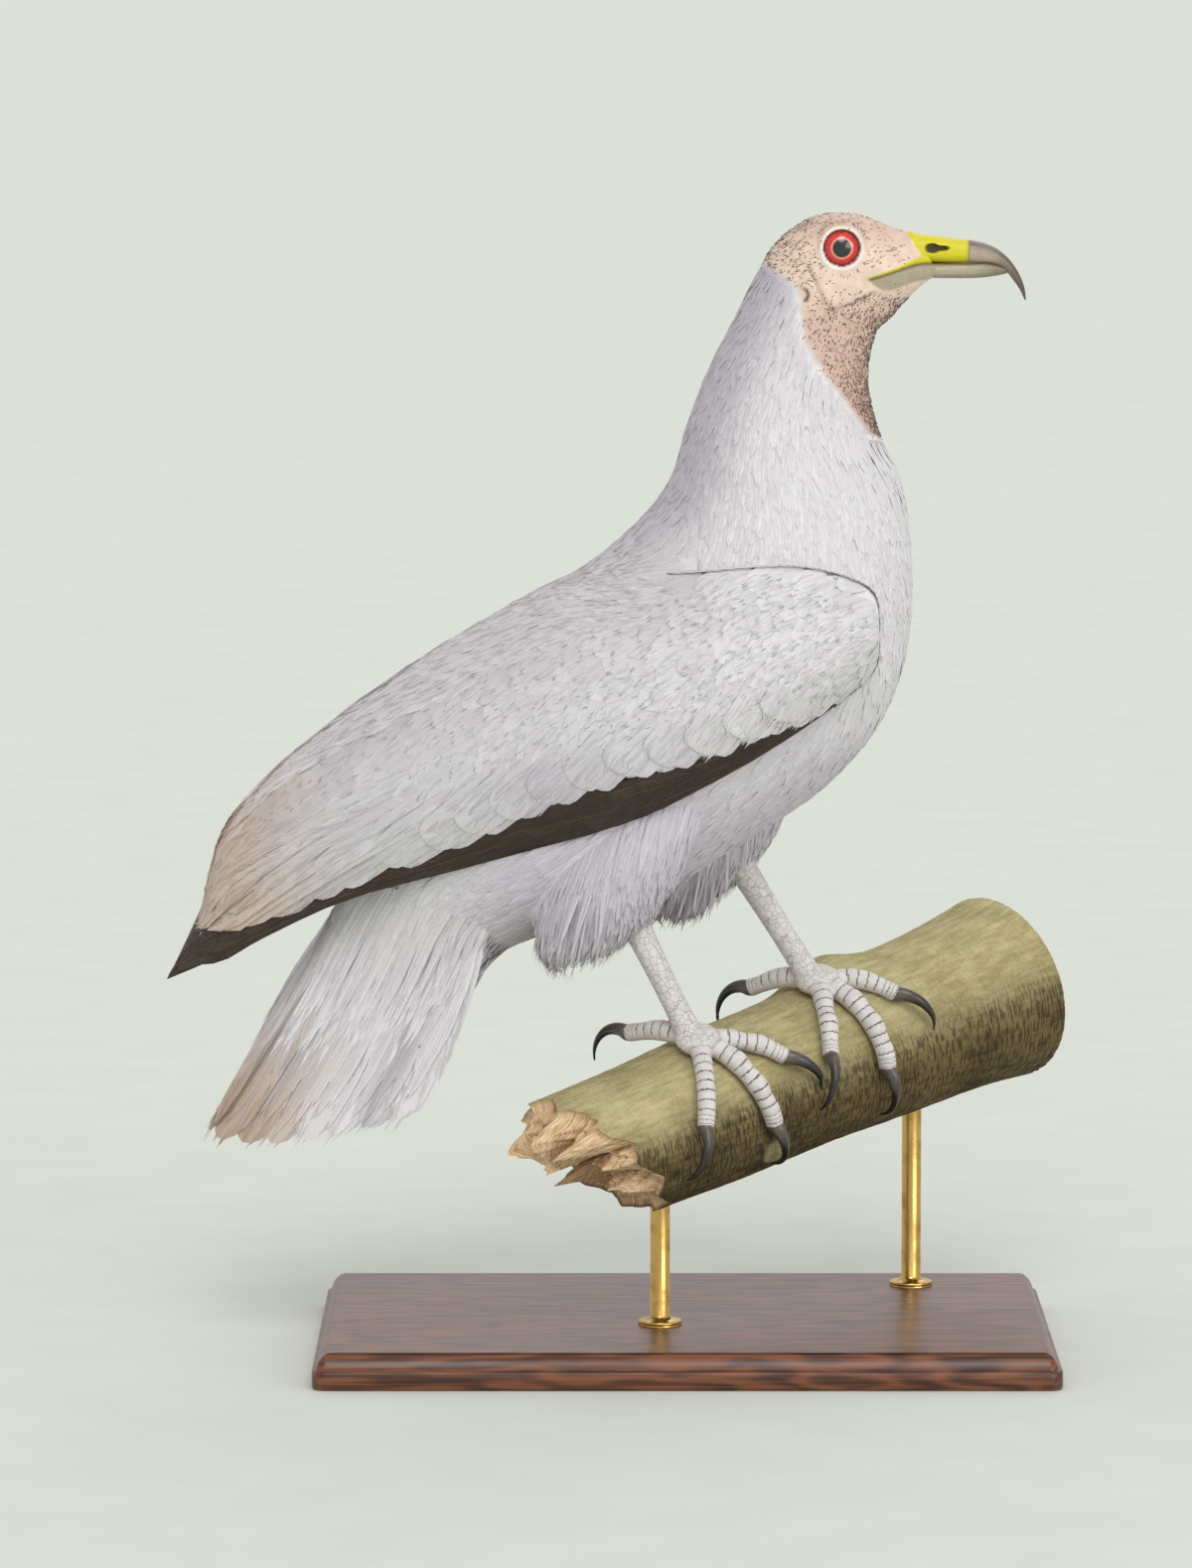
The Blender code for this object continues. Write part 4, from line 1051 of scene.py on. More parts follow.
# ---- materials ---------------------------------------------------------------------------------------
class Nodes:
    """A short way to write a procedural material's node tree."""

    def __init__(self, name, roughness=0.6, specular=0.4):
        self.material = bpy.data.materials.new(name)
        self.material.use_nodes = True
        self.tree = self.material.node_tree
        self.shader = self.tree.nodes["Principled BSDF"]
        self.shader.inputs["Roughness"].default_value = roughness
        self.shader.inputs["Specular IOR Level"].default_value = specular

    def set(self, socket, value):
        """Links a socket to another, or writes a plain value into it."""
        if isinstance(value, bpy.types.NodeSocket):
            self.tree.links.new(value, socket)
        elif isinstance(value, (tuple, list, np.ndarray)) and len(socket.default_value) == 4:
            socket.default_value = (*value[:3], 1.0)
        else:
            socket.default_value = value

    def node(self, kind, output, settings=None, **inputs):
        node = self.tree.nodes.new(kind)
        for key, value in (settings or {}).items():
            setattr(node, key, value)
        for key, value in inputs.items():
            self.set(node.inputs[int(key[1:]) if key[1:].isdigit() else key.replace("_", " ")], value)
        return node.outputs[output]

    def attribute(self, name, output="Fac"):
        return self.node("ShaderNodeAttribute", output, {"attribute_name": name})

    def math(self, operation, *values):
        inputs = {f"i{k}": value for k, value in enumerate(values)}
        return self.node("ShaderNodeMath", 0, {"operation": operation}, **inputs)

    def plus(self, first, second):
        return self.math("ADD", first, second)

    def minus(self, first, second):
        return self.math("SUBTRACT", first, second)

    def times(self, first, second):
        return self.math("MULTIPLY", first, second)

    def mix(self, share, first, second, blend="MIX"):
        settings = {"data_type": "RGBA", "blend_type": blend}
        return self.node("ShaderNodeMix", 2, settings, i0=share, i6=first, i7=second)

    def shaded(self, colour, value):
        """The colour, lighter or darker by a value round 1."""
        return self.mix(1.0, colour, self.combine(value, value, value), "MULTIPLY")

    def place(self, scale=1.0):
        """The object's own coordinates in millimetres over the scale."""
        where = self.node("ShaderNodeTexCoord", "Object")
        sizes = (scale,) * 3 if np.isscalar(scale) else scale
        return self.scaled(where, tuple(1000.0 / size for size in sizes))

    def scaled(self, vector, factors):
        return self.node("ShaderNodeVectorMath", 0, {"operation": "MULTIPLY"}, i0=vector, i1=factors)

    def noise(self, vector, detail=3.0, rough=0.55, distortion=0.0):
        return self.node(
            "ShaderNodeTexNoise", "Fac", None,
            Vector=vector, Scale=1.0, Detail=detail, Roughness=rough, Distortion=distortion,
        )

    def voronoi(self, vector, output="Distance", feature="F1"):
        return self.node("ShaderNodeTexVoronoi", output, {"feature": feature}, Vector=vector, Scale=1.0)

    def ramp(self, value, low, high, to_low=0.0, to_high=1.0):
        return self.node(
            "ShaderNodeMapRange", 0, {"interpolation_type": "SMOOTHSTEP"},
            i0=value, i1=low, i2=high, i3=to_low, i4=to_high,
        )

    def combine(self, x, y, z):
        return self.node("ShaderNodeCombineXYZ", 0, None, X=x, Y=y, Z=z)

    def bump(self, height, distance, strength):
        return self.node("ShaderNodeBump", 0, None, Strength=strength, Distance=distance * MM, Height=height)

    def finish(self, colour, normal=None, roughness=None, **plain):
        self.set(self.shader.inputs["Base Color"], colour)
        if normal is not None:
            self.set(self.shader.inputs["Normal"], normal)
        if roughness is not None:
            self.set(self.shader.inputs["Roughness"], roughness)
        for key, value in plain.items():
            self.set(self.shader.inputs[key.replace("_", " ")], value)
        return self.material


def skin_material():
    """Bare skin: pores and wrinkles, dark dots on the throat, and scales and scutes on legs and toes."""
    n = Nodes("skin", 0.5, 0.35)
    tint = n.attribute("tint", "Color")
    blotch = n.ramp(n.noise(n.place(5.0)), 0.35, 0.65, 0.92, 1.05)
    colour = n.shaded(tint, blotch)
    cells = n.place(1.55)
    dots = n.ramp(n.voronoi(cells), 0.24, 0.34, 1.0, 0.0)
    chance = n.node("ShaderNodeSeparateColor", 0, None, Color=n.voronoi(cells, "Color"))
    shown = n.math("LESS_THAN", chance, n.attribute("stipple"))
    colour = n.mix(n.times(n.times(dots, shown), 0.85), colour, linear(58, 38, 34))
    # Painted shade: the leg's scales darker along their edges, in the grooves between them.
    edge = n.voronoi(n.place(3.4), feature="DISTANCE_TO_EDGE")
    scales = n.ramp(edge, 0.01, 0.055, 0.55, 1.0)
    webbed = n.mix(n.attribute("leg"), (1.0, 1.0, 1.0), n.combine(scales, scales, scales))
    colour = n.mix(1.0, colour, webbed, "MULTIPLY")
    # Painted shade in the grooves between the toes' scutes.
    phase = n.math("FRACT", n.attribute("scute"))
    to_line = n.minus(0.5, n.math("ABSOLUTE", n.minus(phase, 0.5)))
    line = n.times(n.ramp(to_line, 0.045, 0.10, 1.0, 0.0), n.attribute("band"))
    colour = n.mix(n.times(line, 0.85), colour, SCUTE_SHADE)
    pores = n.noise(n.place(0.7), 4.0)
    wrinkles = n.noise(n.place((2.6, 2.6, 1.1)), 3.0, 0.6, 0.6)
    height = n.plus(n.times(pores, 0.4), n.times(wrinkles, 0.7))
    height = n.plus(height, n.times(n.times(scales, n.attribute("leg")), 1.2))
    rough = n.ramp(pores, 0.3, 0.7, 0.42, 0.62)
    return n.finish(colour, n.bump(height, 0.3, 0.6), rough, Subsurface_Weight=0.06, Subsurface_Scale=0.004)


def feather_material(name, roughness, edge, streak, sheen):
    """Vanes: clumped barbs slanting from the shaft, a fine shaft line, painted shade at the root, a paler
    tip.
    """
    n = Nodes(name, roughness, 0.25)
    along, across, share = n.attribute("along"), n.attribute("across"), n.attribute("share")
    own = n.attribute("own")
    aside = n.math("ABSOLUTE", across)
    slant = n.minus(along, n.times(aside, 1.5))
    barbs = n.noise(n.combine(n.times(slant, 1.15), n.times(across, 0.22), own), 2.0, 0.6)
    fine = n.noise(n.combine(n.times(slant, 3.6), n.times(across, 0.5), own), 2.0)
    lines = n.plus(n.times(barbs, 0.65), n.times(fine, 0.35))
    shade = n.ramp(lines, 0.32, 0.68, 1.0 - streak, 1.0 + 0.35 * streak)
    feather_shade = n.ramp(n.math("FRACT", n.times(own, 7.31)), 0.0, 1.0, 0.955, 1.035)
    shaft = n.ramp(aside, 0.10, 0.42, 0.90, 1.0)
    # Painted shade: the vane darker up to 0.55 of its length, where the next feathers lie over it, and paler
    # at the tip.
    rim = n.ramp(share, 0.55, 1.0, 1.0 - edge, 1.0 + 0.4 * edge)
    value = n.times(n.times(shade, feather_shade), n.times(shaft, rim))
    colour = n.shaded(n.attribute("tint", "Color"), value)
    ridge = n.ramp(aside, 0.0, 0.5, 1.0, 0.0)
    height = n.plus(lines, n.times(ridge, 0.5))
    return n.finish(colour, n.bump(height, 0.30, 0.7), None, Sheen_Weight=sheen, Sheen_Roughness=0.5)


def hair_material():
    n = Nodes("stubble", 0.6, 0.3)
    tone = n.ramp(n.math("FRACT", n.attribute("own")), 0.0, 1.0, 0.7, 1.3)
    return n.finish(n.shaded(n.attribute("tint", "Color"), tone))


def eye_material():
    """A glossy eye: black pupil, thin orange ring, fibrous red iris and a dark rim."""
    n = Nodes("eye", 0.25, 0.5)
    x, _, z = (n.node("ShaderNodeSeparateXYZ", k, None, Vector=n.place()) for k in range(3))
    x, z = n.minus(x, EYE_CENTRE[0]), n.minus(z, EYE_CENTRE[2])
    away = n.math("SQRT", n.plus(n.times(x, x), n.times(z, z)))
    angle = n.times(n.math("ARCTAN2", z, x), 9.0)
    fibres = n.noise(n.combine(angle, n.times(away, 0.5), 0.0), 3.0)
    red = n.mix(n.ramp(fibres, 0.35, 0.65), linear(172, 22, 26), linear(214, 52, 48))
    iris = n.mix(n.ramp(away, 5.2, 6.0), linear(234, 140, 108), red)
    iris = n.mix(n.ramp(away, 4.4, 4.8), (0.006, 0.005, 0.005), iris)
    colour = n.mix(n.ramp(away, 8.4, 8.8), iris, linear(44, 20, 18))
    return n.finish(colour, Coat_Weight=0.8, Coat_Roughness=0.03)


def horn_material(name, roughness, streak):
    """Bill and claws: the piece's own colours with fine growth lines along it."""
    n = Nodes(name, roughness, 0.5)
    grain = n.noise(n.place((7.0, 1.1, 1.1)), 3.0, 0.6)
    patches = n.noise(n.place(3.0), 2.0)
    value = n.ramp(n.plus(n.times(grain, 0.6), n.times(patches, 0.4)),
                   0.35, 0.65, 1.0 - streak, 1.0 + streak)
    colour = n.shaded(n.attribute("tint", "Color"), value)
    rough = n.ramp(patches, 0.3, 0.7, roughness - 0.06, roughness + 0.08)
    return n.finish(colour, n.bump(grain, 0.12, 0.5), rough, Coat_Weight=0.15, Coat_Roughness=0.2)


def bark_material():
    """Olive-brown bark: painted light on top, painted shade and darker furrows below; torn wood at the broken
    end.
    """
    n = Nodes("bark", 0.9, 0.15)
    along, around, top = n.attribute("along"), n.attribute("around"), n.attribute("top")
    furrows = n.noise(
        n.combine(n.times(along, 0.06), n.times(around, 0.33), 0.0), 4.0, 0.62, 0.3
    )
    patches = n.noise(n.place(34.0), 3.0, 0.6)
    specks = n.noise(n.place(1.6), 2.0)
    value = n.plus(n.times(furrows, 0.40), n.times(patches, 0.42))
    value = n.plus(value, n.times(specks, 0.18))
    # Painted light and shade: paler colours where the bark faces up and towards the camera, darker ones
    # below.
    light = n.mix(n.ramp(value, 0.36, 0.64), linear(150, 139, 97), linear(190, 180, 136))
    dark = n.mix(n.ramp(value, 0.36, 0.64), linear(72, 60, 36), linear(116, 101, 68))
    bark = n.mix(top, dark, light)
    cracks = n.noise(n.combine(n.times(along, 0.75), n.times(around, 0.13), 2.0), 1.0, 0.5)
    cracks = n.ramp(cracks, 0.50, 0.60)
    # Painted shade: cracks darker where the bark faces down.
    depth = n.times(cracks, n.ramp(top, 0.15, 0.85, 0.70, 0.06))
    bark = n.mix(depth, bark, linear(48, 42, 28))
    fibres = n.noise(n.combine(n.times(along, 0.12), n.times(around, 1.3), 5.0), 4.0, 0.6)
    wood = n.mix(n.ramp(fibres, 0.34, 0.66), linear(176, 142, 106), linear(234, 208, 170))
    bark = n.mix(n.times(n.attribute("stub"), 0.6), bark, linear(190, 176, 132))
    colour = n.mix(n.attribute("torn"), bark, wood)
    height = n.plus(furrows, n.times(specks, 0.35))
    height = n.minus(height, n.times(depth, 0.8))
    return n.finish(colour, n.bump(height, 0.9, 0.8))


def board_material():
    """Dark polished wood with long grain."""
    n = Nodes("stand_wood", 0.35, 0.4)
    wander = n.noise(n.place((180.0, 34.0, 34.0)), 3.0)
    grain = n.noise(n.place((90.0, 1.6, 1.6)), 4.0, 0.6, 0.4)
    rings = n.math("SINE", n.times(wander, 60.0))
    value = n.plus(n.times(rings, 0.14), grain)
    colour = n.mix(n.ramp(value, 0.25, 0.75), linear(58, 30, 18), linear(122, 72, 44))
    rough = n.ramp(grain, 0.3, 0.7, 0.28, 0.45)
    return n.finish(colour, n.bump(grain, 0.12, 0.3), rough, Coat_Weight=0.2, Coat_Roughness=0.3)


def brass_material():
    """Drawn brass with faint marks along the rod and a little tarnish."""
    n = Nodes("stand_metal", 0.28, 0.5)
    tarnish = n.ramp(n.noise(n.place(9.0), 4.0), 0.42, 0.72)
    marks = n.noise(n.place((0.5, 0.5, 14.0)), 2.0)
    colour = n.mix(n.times(tarnish, 0.5), linear(206, 170, 98), linear(140, 104, 58))
    rough = n.ramp(n.plus(marks, n.times(tarnish, 0.5)), 0.3, 1.2, 0.2, 0.45)
    return n.finish(colour, n.bump(marks, 0.03, 0.3), rough, Metallic=1.0)


MATERIALS = {
    "skin": skin_material(),
    "white_feather": feather_material("white_feather", 0.8, 0.05, 0.13, 0.10),
    "black_feather": feather_material("black_feather", 0.55, 0.20, 0.45, 0.0),
    "stubble": hair_material(),
    "eye": eye_material(),
    "bill": horn_material("bill", 0.38, 0.08),
    "cere": horn_material("cere", 0.45, 0.05),
    "claw": horn_material("claw", 0.33, 0.22),
    "bark": bark_material(),
    "board": board_material(),
    "brass": brass_material(),
}


# ---- feathers ----------------------------------------------------------------------------------------
BROAD_RING = (np.array((-1.0, -0.5, 0.0, 0.5, 1.0, 0.0)), np.array((0.0, 0.8, 1.0, 0.8, 0.0, -0.4)))
LANCE_RING = (np.array((-1.0, 0.0, 1.0, 0.0)), np.array((0.0, 1.0, 0.0, -0.5)))
# How wide a feather is at shares of its length.
CONTOUR = np.array((
    (0.0, 0.30), (0.22, 0.72), (0.50, 0.98), (0.74, 0.96), (0.90, 0.70), (0.98, 0.34), (1.0, 0.06),
))
BLUNT = np.array((
    (0.0, 0.45), (0.12, 0.80), (0.30, 0.95), (0.50, 1.0), (0.72, 1.0), (0.86, 0.97), (0.93, 0.86),
    (0.97, 0.64), (0.993, 0.32), (1.0, 0.06),
))
BLUNT_BACK = 1.0 - BLUNT[::-1, 0]
QUILL = np.array((
    (0.0, 0.45), (0.10, 0.75), (0.25, 0.92), (0.42, 1.0), (0.60, 1.0), (0.76, 0.97),
    (0.87, 0.86), (0.94, 0.66), (0.985, 0.36), (1.0, 0.06),
))
POINTED = np.array((
    (0.0, 0.5), (0.2, 0.9), (0.4, 1.0), (0.6, 0.9), (0.75, 0.72), (0.86, 0.5), (0.94, 0.28), (1.0, 0.06),
))
LANCE = np.array(((0.0, 0.55), (0.30, 0.95), (0.62, 0.90), (0.86, 0.50), (1.0, 0.08)))
LANCE_LONG = np.array(((0.0, 0.6), (0.3, 1.0), (0.6, 0.9), (0.85, 0.55), (1.0, 0.06)))
UV_PATCH = 0.003
# Fine barbs on each kind of feather: how many, length, width, and the shares they start between.
BARBS = {
    "tail_covert": (2, 9.0, 0.35, 0.40, 0.85),
    "mantle": (2, 9.0, 0.4, 0.30, 0.85),
    "rear": (46, 16.0, 0.55, 0.30, 0.93),
    "great": (16, 12.0, 0.55, 0.40, 0.82),
    "scale": (4, 9.0, 0.5, 0.25, 0.70),
    "scale_tip": (2, 3.6, 0.32, 0.80, 0.95),
    "flight": (18, 34.0, 0.3, 0.10, 0.85),
    "tail_top": (80, 17.0, 0.5, 0.35, 0.94),
    "tail_under": (50, 17.0, 0.5, 0.35, 0.94),
    "thigh_tip": (1, 6.0, 0.16, 0.78, 0.95),
}
COAT_TONES = (0.965, 1.03)


def vane_look(tint, uv, thick=0.3, camber=0.03, ragged=0.04, ring=BROAD_RING):
    """A set's colours, places on the bake map, thickness, camber, raggedness and section."""
    tint = tint if tint.ndim == 3 else tint[:, None]
    return {"tint": tint, "uv": uv, "thick": thick, "camber": camber, "ragged": ragged, "ring": ring}


def lance_look(tint, uv, thick=0.3, camber=0.06, ragged=0.12):
    return vane_look(tint, uv, thick, camber, ragged, LANCE_RING)


def own_tint(points, low, high):
    """The coat's tint and painted shade at feathers' roots or along their lines, each feather with a tone of
    its own.
    """
    return plumage_tint(points) * RANDOM.uniform(low, high, (len(points), *(1,) * (points.ndim - 1)))


def body_uv(turn, u):
    return np.stack((turn / (2 * math.pi), u / len(BODY)), axis=-1) * 0.99


def wing_uv(across, u):
    return np.stack((across, 0.02 + 0.95 * u / len(WING)), axis=-1)


def lay(surface, roots, courses, lengths, shares, heights, droop=0.0, slack=3.0):
    """Centre lines of feathers over a surface, and the upward side along them.

    heights gives how far root and tip stand over the surface. Past the surface's edge a line goes on
    straight, and droop turns it downwards on the way.
    """
    count = len(roots)
    place, up, _ = surface.nearest(roots)
    course = unit(courses)
    line, ups = np.zeros((count, len(shares), 3)), np.zeros((count, len(shares), 3))
    for row, share in enumerate(shares):
        if row:
            step = (share - shares[row - 1]) * lengths[:, None]
            guess = place + course * step
            found, normal, gap = surface.nearest(guess)
            sunk = np.sum((guess - found) * normal, axis=1) < -0.5 * gap
            on = ((gap < slack) | sunk)[:, None]
            place, up = np.where(on, found, guess), np.where(on, normal, up)
        course = unit(course + (0.0, 0.0, -droop * 0.2))
        course = unit(course - np.sum(course * up, axis=1, keepdims=True) * up)
        line[:, row], ups[:, row] = place, up
    low, high = np.asarray(heights[0]), np.asarray(heights[1])
    rise = low[..., None] + (high - low)[..., None] * np.asarray(shares) ** 0.8
    return line + ups * np.broadcast_to(rise, (count, len(shares)))[..., None], ups


def vane_quads(count, rows, sides):
    """The faces of so many closed tubes."""
    f, r, k = np.meshgrid(np.arange(count), np.arange(rows - 1), np.arange(sides), indexing="ij")
    base = (f * rows + r) * sides
    a, b = base + k, base + (k + 1) % sides
    quads = np.stack((a, b, b + sides, a + sides), axis=-1).reshape(-1, 4)
    first = np.arange(count)[:, None] * rows * sides
    last = first + (rows - 1) * sides
    caps = [(0, 5, 2, 1), (2, 5, 4, 3)] if sides == 6 else [(0, 3, 2, 1)]
    roots = [first + np.array(cap) for cap in caps]
    tips = [last + np.array(cap[::-1]) for cap in caps]
    return np.concatenate([quads, *roots, *tips])


def vane_parts(line, ups, half, look):
    """Points, quads, colours, marks and places on the bake map of one set of vanes."""
    across, height = look["ring"]
    shape = (*line.shape[:2], len(across))
    ahead = unit(np.gradient(line, axis=1))
    aside = unit(np.cross(ahead, ups))
    upward = np.cross(aside, ahead)
    wide = half[..., None] * across
    wide = wide * (1.0 + look["ragged"] * RANDOM.uniform(-1.0, 1.0, wide.shape))
    plump = np.sin(np.linspace(0.25, math.pi - 0.35, shape[1]))[None, :, None]
    rise = look["thick"] * plump * height - look["camber"] * half[..., None] * across**2
    points = line[:, :, None] + aside[:, :, None] * wide[..., None] + upward[:, :, None] * rise[..., None]
    run = np.linalg.norm(np.diff(line, axis=1), axis=2)
    along = np.concatenate((np.zeros((len(line), 1)), np.cumsum(run, axis=1)), axis=1)
    share = along / along[:, -1:]
    own = RANDOM.uniform(0.0, 100.0, (len(line), 1))
    marks = [np.broadcast_to(mark[..., None], shape).reshape(-1) for mark in (along, share, own)]
    tint = np.broadcast_to(look["tint"][:, :, None], (*shape, 3)).reshape(-1, 3)
    uv = np.empty((*shape, 2))
    uv[..., 0] = look["uv"][:, 0, None, None] + across * UV_PATCH / 2
    uv[..., 1] = look["uv"][:, 1, None, None] + share[..., None] * UV_PATCH
    return points.reshape(-1, 3), vane_quads(*shape), tint, uv.reshape(-1, 2), wide.reshape(-1), *marks


def feathers(name, sets, material):
    """One object of closed vanes. Each set has centre lines, upward sides, half-widths and looks."""
    points, quads, tint, uv, *marks = stack(*(vane_parts(*one) for one in sets))
    floats = dict(zip(("across", "along", "share", "own"), marks))
    coat = quad_mesh(name, points, quads, tint, floats, np.clip(uv, 0.0, 1.0), sharp=70.0)
    coat.data.materials.append(MATERIALS[material])
    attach(coat, "root")
    return coat


def along_rows(values, where):
    """Values kept at rows of each line, read between the rows: (lines, rows, n) at (lines, places)."""
    i = np.clip(where.astype(int), 0, values.shape[1] - 2)
    t = (where - i)[..., None]
    line = np.arange(len(values))[:, None]
    return values[line, i] * (1.0 - t) + values[line, i + 1] * t


def barbs(
    sets, per, length, width, first, last, lift=0.15, slant=0.22, tone=(0.94, 1.04), inside=False
):
    """Fine locks of barbs on the vanes of other sets, slanting outwards and ending past their edges.

    Each vane gets so many, with their roots between the shares first and last of its length. Inside
    ones end before the vane's tip.
    """
    made = []
    for line, ups, half, look in sets:
        pick = np.repeat(np.arange(len(line)), per)
        count, rows = len(pick), line.shape[1]
        run = np.linalg.norm(np.diff(line, axis=1), axis=2)
        total = run.sum(axis=1)[pick]
        shares = np.concatenate(((0.0,), np.cumsum(run.mean(axis=0)) / run.mean(axis=0).sum()))
        start = RANDOM.uniform(first, last, count)
        reach = length * RANDOM.uniform(0.7, 1.2, count) / total
        if inside:
            reach = np.minimum(reach, 0.97 - start)
        share = start[:, None] + reach[:, None] * LANCE[:, 0]
        across = RANDOM.uniform(-0.88, 0.88, (count, 1)) * (1.0 + slant * LANCE[:, 0])
        row = np.interp(np.minimum(share, 1.0), shares, np.arange(rows))
        up = unit(along_rows(ups[pick], row))
        heading = unit(along_rows(unit(np.gradient(line, axis=1))[pick], row))
        wide = along_rows(np.broadcast_to(half, line.shape[:2])[pick][..., None], row)[..., 0]
        wide = np.maximum(wide, 0.0 if inside else 0.35 * half.max())
        rise = look["thick"] * (1.0 - 0.8 * np.abs(across)) - look["camber"] * wide * across**2
        rise = rise + 0.02 + lift * LANCE[:, 0] * RANDOM.uniform(0.4, 1.6, (count, 1))
        rise[:, 0] -= 0.25
        beyond = np.maximum(share - 1.0, 0.0) * total[:, None]
        place = along_rows(line[pick], row) + heading * beyond[..., None]
        place = place + unit(np.cross(heading, up)) * (across * wide)[..., None] + up * rise[..., None]
        tint = along_rows(np.broadcast_to(look["tint"], line.shape)[pick], row)
        tint = tint * RANDOM.uniform(*tone, (count, 1, 1))
        uv = np.broadcast_to(look["uv"], (len(line), 2))[pick]
        slim = width * RANDOM.uniform(0.8, 1.2, (count, 1)) * LANCE[:, 1]
        made.append((place, up, slim, lance_look(tint, uv, 0.3 * width, 0.0, 0.0)))
    return made


def turned(courses, ups, degrees):
    """Directions turned about the upward side."""
    angle = np.radians(degrees)[:, None]
    return courses * np.cos(angle) + np.cross(ups, courses) * np.sin(angle)


def mirrored(sets):
    """The same feathers on the other side of the body."""
    return [(line * (1.0, -1.0, 1.0), ups * (1.0, -1.0, 1.0), half, look) for line, ups, half, look in sets]


def grid_sites(rows, first, last, spacing, point):
    """Staggered places over an oval loft, as section numbers and turns, equally close all round."""
    places, turns = [], []
    u, row = first, 0
    while u < last:
        gap = spacing(u)
        circle = np.linspace(0.0, 2 * math.pi, 49)
        ring = point(np.full(49, u), circle)
        count = max(int(run_along(ring)[-1] / gap), 5)
        turn = (np.arange(count) + 0.5 * (row % 2)) / count * 2 * math.pi
        step = np.linalg.norm(point(np.full(49, u + 0.05), circle) - ring, axis=1)
        turn = turn[RANDOM.uniform(0.0, 1.0, count) < np.interp(turn, circle, step / step.max())]
        turns.append(turn + RANDOM.normal(0.0, 0.16 / count * 2 * math.pi, len(turn)))
        places.append(np.full(len(turn), u) + RANDOM.normal(0.0, 0.018, len(turn)))
        u += gap * 0.05 / step.max() * 0.92
        row += 1
    return np.clip(np.concatenate(places), 0.0, len(rows) - 1.001), np.concatenate(turns) % (2 * math.pi)


# ---- the body's coat ---------------------------------------------------------------------------------
BRISTLES = 3400


def bristle_weight(points):
    """How likely a bristle is at each point of the head's skin."""
    x, z, bare, eye = points[:, 0], points[:, 2], bare_depth(points), eye_gap(points)
    clear = smooth_step(eye, 12.5, 16.0) * smooth_step(bare, -4.0, 0.0)
    gape, jaw = between(points, GAPE_TOP, MOUTH_LINE, 1.5), between(points, MOUTH_LINE, JAW_EDGE, 1.5)
    clear *= 1.0 - np.maximum(gape, jaw)
    lores = 0.25 * bump_at(x, 99.0, 9.0) * bump_at(z, 553.0, 7.0)
    rim = bump_at(eye, 12.7, 0.6) * 1.1
    fold = 0.8 * bump_at(line_distance(points, CHEEK_FOLD), 1.2, 0.7)
    weight = clear * (stipple_density(points) ** 1.3 + lores + fold + 0.03) + rim * (bare > 0)
    return weight * (x < 112.0)


def make_stubble():
    """Fine dark bristles on the throat, nape, crown and lores, and round the eye."""
    points, normals = HEAD_SURFACE.points, np.zeros_like(HEAD_SURFACE.points)
    for k in range(4):
        np.add.at(normals, HEAD_SURFACE.quads[:, k], HEAD_SURFACE.normals)
    weight = bristle_weight(points)
    picked = RANDOM.choice(len(points), BRISTLES, replace=False, p=weight / weight.sum())
    roots, up = points[picked], unit(normals)[picked]
    low = smooth_step(540.0 - roots[:, 2], 0.0, 12.0)
    courses = mix(np.array((-1.0, 0.0, -0.25)), np.array((-0.35, 0.0, -1.0)), low)
    spoke = roots - EYE_CENTRE * (1.0, 0.0, 1.0) - roots * (0.0, 1.0, 0.0)
    courses = mix(courses, unit(spoke), smooth_step(15.0 - eye_gap(roots), 0.0, 1.5))
    courses = courses + RANDOM.normal(0.0, 0.2, roots.shape)
    length = (1.9 * (1.0 - low) + 1.5 * low) * RANDOM.uniform(0.7, 1.3, BRISTLES)
    heights = (np.full(BRISTLES, -0.15), RANDOM.uniform(0.15, 0.6, BRISTLES))
    line, ups = lay(HEAD_SURFACE, roots, courses, length, LANCE[:, 0], heights)
    half = (0.15 + 0.07 * low)[:, None] * LANCE[:, 1]
    tint = mix(linear(52, 34, 30), linear(120, 88, 74), RANDOM.uniform(0.0, 1.0, BRISTLES) ** 2)
    uv = np.stack((0.5 + np.arctan2(up[:, 1], up[:, 0]) / 6.4, (roots[:, 2] - 440.0) / 140.0), axis=-1)
    look = lance_look(tint, uv, 0.14, 0.0, 0.0)
    feathers("head_bristles", [(line, ups, half, look)], "stubble")


# Feather sizes along the body, by section number: length, half-width and spacing.
BODY_SIZES = np.array((
    (0.0, 20.0, 3.4, 4.6), (3.0, 28.0, 3.6, 4.7), (6.0, 26.0, 3.5, 4.3), (8.5, 25.0, 3.3, 3.9),
    (9.5, 25.0, 3.0, 3.5), (10.3, 25.0, 2.7, 3.2), (11.0, 26.0, 2.3, 2.95), (12.0, 26.0, 2.0, 2.65),
    (13.5, 21.0, 1.7, 2.4), (15.0, 12.0, 1.3, 2.1),
))


def body_size(u, column):
    return np.interp(u, BODY_SIZES[:, 0], BODY_SIZES[:, column])


